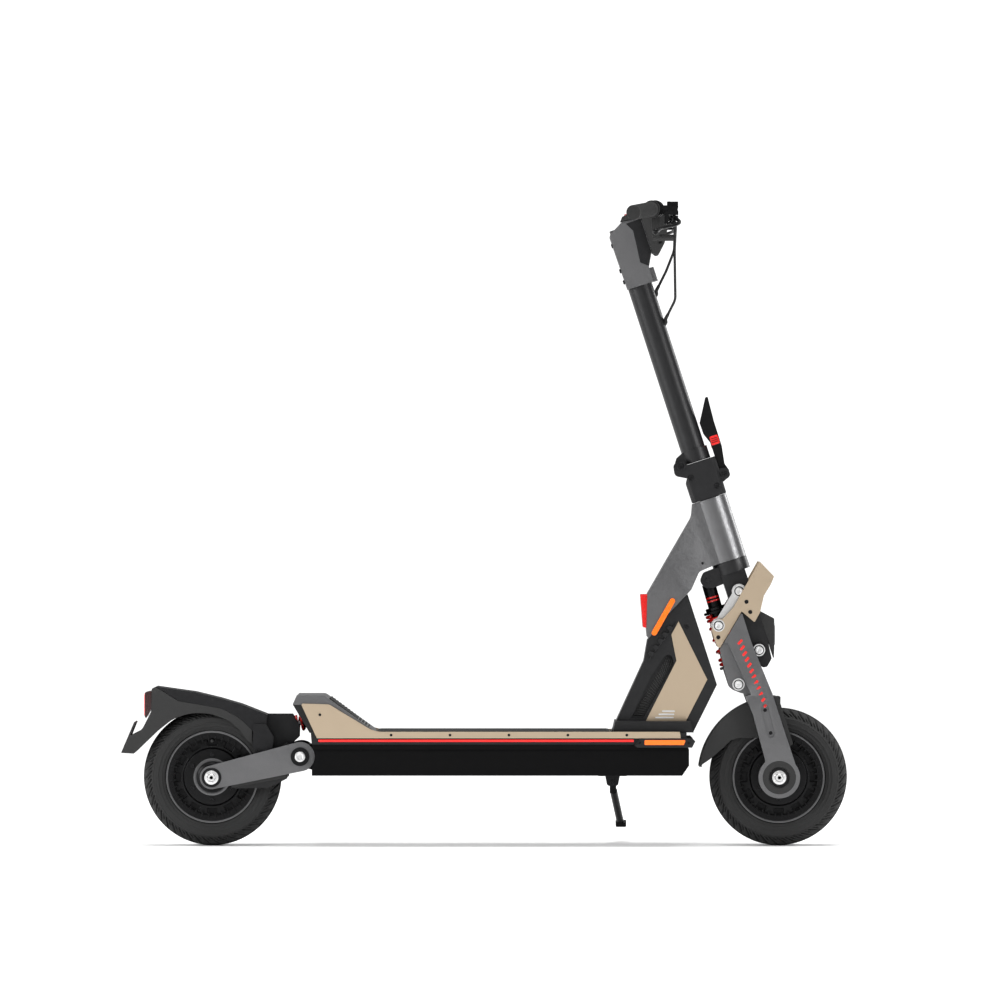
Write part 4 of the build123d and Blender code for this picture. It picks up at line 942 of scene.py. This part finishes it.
# ================================================================== column and lamp
class MakeColumn(bpy.types.Operator):
    """Steering column, headlamp and folding block"""

    bl_idname = "scooter.column"
    bl_label = "Steering column"

    def execute(self, context):
        dress("steering_column", "frame_paint", 1.4)
        dress("headlight_housing", "black_plastic", 1.6, 3)
        dress("fold_block", "frame_paint", 1.5)
        low, high = (np.array(corner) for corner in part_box("headlight_lens"))
        middle = (low + high) / 2
        pane = pebble([high[0] - 0.0022, 0, middle[2]], 0.0022 * ahead, (high[1] - 0.0002) * across,
                      (high[2] - middle[2] - 0.0002) * upward, 0.2, 40)
        piece("lamp_pane", [pane], "clear_plastic", "column", ["headlight_lens"])
        bowls, cores = [], []
        share = np.linspace(0, 1, 14)
        bowl = np.stack([0.0022 + 0.0092 * share, 0.0052 * share ** 2], axis=-1)
        for y in (-0.0122, 0.0122):
            for z in (-0.0126, 0.0126):
                spot = np.array([low[0] + 0.0003, y, middle[2] + z])
                rim = [(0.0121, 0.0052), (0.0121, 0.0)]
                bowls.append(lathe([*map(tuple, bowl), *rim, (0.0022, -0.0001)], spot, ahead, closed=True))
                cores.append(lathe([(0, 0.0012), (0.0014, 0.0011), (0.0020, 0.0004), (0.0021, -0.0001),
                                    (0, -0.0001)], spot, ahead, turns=32))
        piece("lamp_bowls", bowls, "mirror_metal", "column")
        piece("lamp_emitters", cores, "emitter", "column")
        return {"FINISHED"}


class MakeFoldingJoint(bpy.types.Operator):
    """Folding lever, its red catch and the joint's pin caps"""

    bl_idname = "scooter.folding_joint"
    bl_label = "Folding joint"

    def execute(self, context):
        dress("fold_lever", "black_anodised", 1.6, 3)
        dress("fold_catch", "signal_red", 0.8)
        hinge = pivot("stem_fold")
        swing = pivot("fold_lever_swing")
        caps = [screw(hinge + side * 0.037 * across, side * across, 0.0068, 0.002) for side in (1, -1)]
        piece("fold_pin_caps", caps, "dark_steel", "stem")
        label = pebble(aim(0.0478, 0.8575, 0.0111), 0.0088 * steer_ahead, 0.0005 * across,
                       0.0094 * steer_up, 0.2, 20)
        lines = [pebble(aim(0.0478, 0.8535 + 0.004 * index, 0.0116), 0.0070 * steer_ahead, 0.0003 * across,
                        0.0007 * steer_up, 0.3, 12) for index in range(3)]
        piece("catch_label", both_sides([label]), "signal_red", "fold_lever")
        piece("catch_label_lines", both_sides(lines), "dark_steel", "fold_lever")
        ends = [screw(swing + side * 0.0231 * across, side * across, 0.0052, 0.0018, turns=36)
                for side in (1, -1)]
        clamp = side_screws("fold_block", [aim(-0.0225, 0.7985), aim(0.0225, 0.7665)], 0.0064, 0.0014, 0.6)
        piece("fold_block_screws", ends + clamp, "dark_steel", "column")
        return {"FINISHED"}


# ================================================================== stem and cockpit
def slab(left, right, faces):
    """Thin cover: each left edge point is joined to its right one, a little above the face there."""
    left, right = np.array(left), np.array(right)
    lift = np.array(faces)[:, None]
    inset = 0.0007 * (right - left) / np.linalg.norm(right - left, axis=1)[:, None]
    low, edge, top = ((lift + rise) * across for rise in (-0.0006, 0.0004, 0.0010))
    ring = np.stack([left + low, left + edge, left + inset + top,
                     right - inset + top, right + edge, right + low], axis=1)
    middle = np.broadcast_to(ring.mean(axis=1, keepdims=True), ring.shape)
    return sheet(np.concatenate([middle[:1], ring, middle[-1:]]), wrap_columns=True)


class MakeStem(bpy.types.Operator):
    """Stem tube, cast head, cockpit housing and display"""

    bl_idname = "scooter.stem"
    bl_label = "Stem"

    def execute(self, context):
        dress("stem_tube", "frame_paint", 0.8)
        dress("stem_head", "casting_paint", 2.2, 3)
        dress("cockpit_housing", "black_plastic", 1.8, 3)
        dress("display", "black_plastic", 1.2)
        screen = pebble(aim(0.052, 1.3548), 0.026 * unit(0.076 * steer_ahead + 0.007 * steer_up),
                        0.034 * across, 0.0009 * unit(-0.007 * steer_ahead + 0.076 * steer_up), 0.16, 32)
        piece("display_screen", [screen], "smoked_glass", "stem")
        bolts = [screw(aim(-0.0277, up, 0.014), -steer_ahead, 0.0042, 0.0028, turns=36)
                 for up in (1.222, 1.246, 1.300)]
        piece("head_bolts", both_sides(bolts), "dark_steel", "stem")
        side = [screw(aim(0.066, up, 0.044), across, 0.0036, 0.0012, turns=30) for up in (1.3175, 1.2765)]
        piece("housing_screws", both_sides(side), "dark_steel", "stem")
        edge = [aim(*spot) for spot in (
            (0.0113, 1.3342), (0.0208, 1.3159), (0.0173, 1.2770), (0.0148, 1.2499))]
        far = [aim(*spot) for spot in (
            (0.0428, 1.3345), (0.0428, 1.3000), (0.0428, 1.2650), (0.0290, 1.2380))]
        cover = slab(edge, far, (0.0340, 0.0340, 0.0338, 0.0326))
        piece("head_side_covers", both_sides([cover]), "grey_plastic", "stem")
        boots = []
        for side, height in ((1, 1.185), (-1, 1.124)):
            foot = aim(stem_radius + hose_gap, height, side * 0.006)
            line = curve([foot + 0.012 * unit([0.020, side * 0.003, 0.040]), foot,
                          aim(stem_radius + 0.0010, height - 0.0065, side * 0.006),
                          aim(stem_radius - 0.0050, height - 0.0100, side * 0.006)], 8)
            boots.append(tube(line, np.linspace(0.0031, 0.0048, len(line)), 20, reference=across))
        piece("hose_boots", boots, "soft_rubber", "stem")
        return {"FINISHED"}


def grip_shape(start, end, radius, ribs):
    """Grip: radius along the bar is r - a·(softened band of each rib), with a flange and a rounded end."""
    axis = end - start
    length = np.linalg.norm(axis)
    along = np.linspace(0, 1, ribs * 10)
    ribbed = soft_band(np.mod(along * ribs, 1), 0.5, 0.38, 0.2) * soft_band(along, 0.53, 0.8, 0.02)
    body = radius - 0.0011 * ribbed
    body = np.where(along < 0.03, radius + 0.0025, body)
    body = body * np.clip(0.86 + 0.14 * np.sqrt(np.clip((1 - along) * length / 0.002, 0, 1)), 0, 1)
    profile = [(0.0112, 0.0)] + [(r, a * length) for r, a in zip(body, along)] + [(0.0, length)]
    return lathe(profile, start, axis, turns=72)


class MakeHandlebar(bpy.types.Operator):
    """Handlebar and ribbed grips"""

    bl_idname = "scooter.handlebar"
    bl_label = "Handlebar"

    def execute(self, context):
        dress("handlebar", "black_anodised", 0)
        grip = grip_shape(grip_inner, grip_outer, grip_radius, context.scene.scooter_sizes.grip_ribs)
        piece("ribbed_grips", both_sides([grip]), "soft_rubber", "stem", ["grips"], sharp=50)
        return {"FINISHED"}


def lever_shape():
    """Brake lever blade: a flattened bar along a smooth line, narrowing to a ball at its tip."""
    root = pivot("brake_lever_left_pull")
    line = curve([root + [0.001, -0.002, 0.001], root + [0.004, 0.014, -0.001],
                  root + [0.009, 0.032, -0.0065], root + [0.004, 0.062, -0.0135],
                  lever_tip + [0.012, -0.034, 0.008], lever_tip], 14)
    share = np.linspace(0, 1, len(line))
    width = 0.0062 - 0.0022 * np.sin(pi * np.clip(share * 1.05, 0, 1)) ** 0.7
    blade = tube(line, width, 24, reference=upward, flat=0.74)
    eye = lathe([(0.0032, -0.0042), (0.0078, -0.0042), (0.0082, -0.0036), (0.0082, 0.0056),
                 (0.0078, 0.0062), (0.0032, 0.0062)], root, upward, turns=60, closed=True)
    ball = pebble(lever_tip, 0.0063 * ahead, 0.0063 * across, 0.0063 * upward, 1.0, 24)
    return [blade, eye, ball]


class MakeControls(bpy.types.Operator):
    """Brake levers, master cylinders, hoses, throttle and buttons"""

    bl_idname = "scooter.controls"
    bl_label = "Hand controls"

    def execute(self, context):
        dress("brake_clamps", "black_anodised", 0.9)
        dress("brake_hoses", "soft_rubber", 0)
        dress("throttle", "black_plastic", 0.9)
        dress("horn_button", "button_plastic", 0.6)
        dress("power_button", "button_plastic", 0.6)
        lever = lever_shape()
        for side, shapes in (("left", lever), ("right", [mirrored(shape) for shape in lever])):
            piece(f"brake_blade_{side}", shapes, "black_anodised", f"brake_lever_{side}",
                  [f"brake_lever_{side}"], sharp=50)
        root = pivot("brake_lever_left_pull")
        lids = [screw(root + [-0.003 + x, -0.024 + y, 0.0349], upward, 0.0026, 0.0012, turns=24)
                for x, y in ((-0.007, 0.012), (0.007, -0.012))]
        hinge = screw(root + [0, 0, 0.0139], upward, 0.0048, 0.0018, turns=36)
        piece("control_screws", both_sides(lids + [hinge]), "silver", "stem")
        return {"FINISHED"}


# ================================================================== rear end and stand
class MakeRearEnd(bpy.types.Operator):
    """Swingarm, rear mudguard and inner flap"""

    bl_idname = "scooter.rear_end"
    bl_label = "Rear end"

    def execute(self, context):
        # the swingarm's paint carries painted shade on its part near the middle
        dress("swingarm", "arm_paint_painted_shade", 2.0, 3)
        dress("rear_fender", "grey_plastic", 1.4, 3)
        dress("rear_mudflap", "black_plastic", 1.2)
        heads = [screw([x, 0.0568, 0.196], across, 0.0042, 0.0024, turns=36) for x in (-0.462, -0.442)]
        cover = slat_panel((-0.516, 0.1195), (-0.5215, 0.1345), (-0.403, 0.1400), (-0.4085, 0.1585),
                           0.0668, 1)
        piece("arm_covers", both_sides([cover]), "black_plastic", "rear_arm")
        edge = [(-0.4290, 0, 0.1960), (-0.4440, 0, 0.2260), (-0.4490, 0, 0.2500), (-0.4440, 0, 0.2690)]
        far = [(-0.3990, 0, 0.2040), (-0.3790, 0, 0.2230), (-0.3780, 0, 0.2480), (-0.3930, 0, 0.2690)]
        guards = slab(edge, far, (0.0300,) * 4)
        piece("damper_guards", both_sides([guards]), "grey_plastic", "rear_arm")
        piece("guard_bolts", both_sides(heads), "dark_steel", "rear_arm")
        return {"FINISHED"}


class MakeStand(bpy.types.Operator):
    """Side stand"""

    bl_idname = "scooter.stand"
    bl_label = "Side stand"

    def execute(self, context):
        dress("kickstand", "black_anodised", 0.8)
        return {"FINISHED"}


# ================================================================== stage
def studio_air(strength):
    """World: white where it is looked at, a soft even light of that strength where it lights the model."""
    world = bpy.data.worlds.new("studio")
    world.use_nodes = True
    tree = world.node_tree
    soft = tree.nodes["Background"]
    soft.inputs["Color"].default_value = (1, 1, 1, 1)
    soft.inputs["Strength"].default_value = strength
    white = tree.nodes.new("ShaderNodeBackground")
    white.inputs["Color"].default_value = (1, 1, 1, 1)
    path = tree.nodes.new("ShaderNodeLightPath")
    blend = tree.nodes.new("ShaderNodeMixShader")
    tree.links.new(path.outputs["Is Camera Ray"], blend.inputs["Fac"])
    tree.links.new(soft.outputs["Background"], blend.inputs[1])
    tree.links.new(white.outputs["Background"], blend.inputs[2])
    tree.links.new(blend.outputs["Shader"], tree.nodes["World Output"].inputs["Surface"])
    return world


class MakeStage(bpy.types.Operator):
    """Pale floor, studio lights and the side camera"""

    bl_idname = "scooter.stage"
    bl_label = "Stage"

    def execute(self, context):
        scene = context.scene
        edge = 14.0  # half the floor's width
        corners = np.array([[[-edge, -edge, 0], [edge, -edge, 0]], [[-edge, edge, 0], [edge, edge, 0]]])
        points, faces = sheet(corners.astype(float))
        mesh = bpy.data.meshes.new("floor")
        mesh.from_pydata(points.tolist(), [], faces.tolist())
        mesh.materials.append(finish("studio_floor"))
        floor = bpy.data.objects.new("floor", mesh)
        scene.collection.objects.link(floor)
        scene.view_settings.view_transform = "Standard"
        scene.view_settings.look = "Medium High Contrast"
        scene.world = studio_air(0.3)
        sun = bpy.data.lights.new("overhead", "SUN")
        sun.energy = 2.5
        sun.angle = radians(40)
        overhead = bpy.data.objects.new("overhead", sun)
        scene.collection.objects.link(overhead)
        lights = (("left_strip", (-3.0, -1.7, 1.3), 1.3, 62), ("right_strip", (3.0, -1.7, 1.1), 1.3, 50),
                  ("front", (-0.6, -4.2, 2.6), 1.6, 26), ("back_left", (-2.6, 2.6, 1.6), 1.2, 22),
                  ("back_right", (2.8, 2.4, 1.5), 1.2, 22))
        for name, place, size, power in lights:  # metres and watts
            data = bpy.data.lights.new(name, "AREA")
            data.shape = "SQUARE"
            data.size = size
            data.energy = power
            lamp = bpy.data.objects.new(name, data)
            lamp.location = place
            aim_at = np.array([0.05, 0.0, 0.5]) - np.array(place)
            lamp.rotation_euler = look(aim_at)
            scene.collection.objects.link(lamp)
        camera = bpy.data.cameras.new("side_view")
        camera.lens = 300
        camera.sensor_width = 36
        camera.clip_end = 60
        eye = bpy.data.objects.new("side_view", camera)
        eye.location = (0.0318, -17.08, 0.7073)
        eye.rotation_euler = (pi / 2, 0, 0)
        scene.collection.objects.link(eye)
        scene.camera = eye
        return {"FINISHED"}


def look(direction):
    """Turn of a lamp whose light goes along the direction."""
    return Vector(direction).to_track_quat("-Z", "Y").to_euler()


# ================================================================== panel and registration
steps = (MakeStage, MakeTyres, MakeWheels, MakeDeck, MakeLamps, MakeRiser, MakeRearEnd, MakeDampers,
         MakeFork, MakeColumn, MakeFoldingJoint, MakeStem, MakeHandlebar, MakeControls, MakeStand)


class ScooterPanel(bpy.types.Panel):
    """Lists the scooter's sizes, colours and pieces"""

    bl_idname = "VIEW3D_PT_scooter"
    bl_label = "Electric kick scooter"
    bl_space_type = "VIEW_3D"
    bl_region_type = "UI"
    bl_category = "Scooter"

    def draw(self, context):
        for group in (context.scene.scooter_sizes, context.scene.scooter_colours):
            column = self.layout.column(align=True)
            for name in group.__annotations__:
                column.prop(group, name)
        for step in steps:
            self.layout.operator(step.bl_idname)


classes = (ScooterColours, ScooterSizes) + steps + (ScooterPanel,)


def register():
    for part in classes:
        bpy.utils.register_class(part)
    bpy.types.Scene.scooter_colours = bpy.props.PointerProperty(type=ScooterColours)
    bpy.types.Scene.scooter_sizes = bpy.props.PointerProperty(type=ScooterSizes)


def unregister():
    del bpy.types.Scene.scooter_sizes
    del bpy.types.Scene.scooter_colours
    for part in reversed(classes):
        bpy.utils.unregister_class(part)


def main():
    """Build every piece in order."""
    register()
    for step in steps:
        group, name = step.bl_idname.split(".")
        getattr(getattr(bpy.ops, group), name)()


if __name__ == "__main__":
    main()
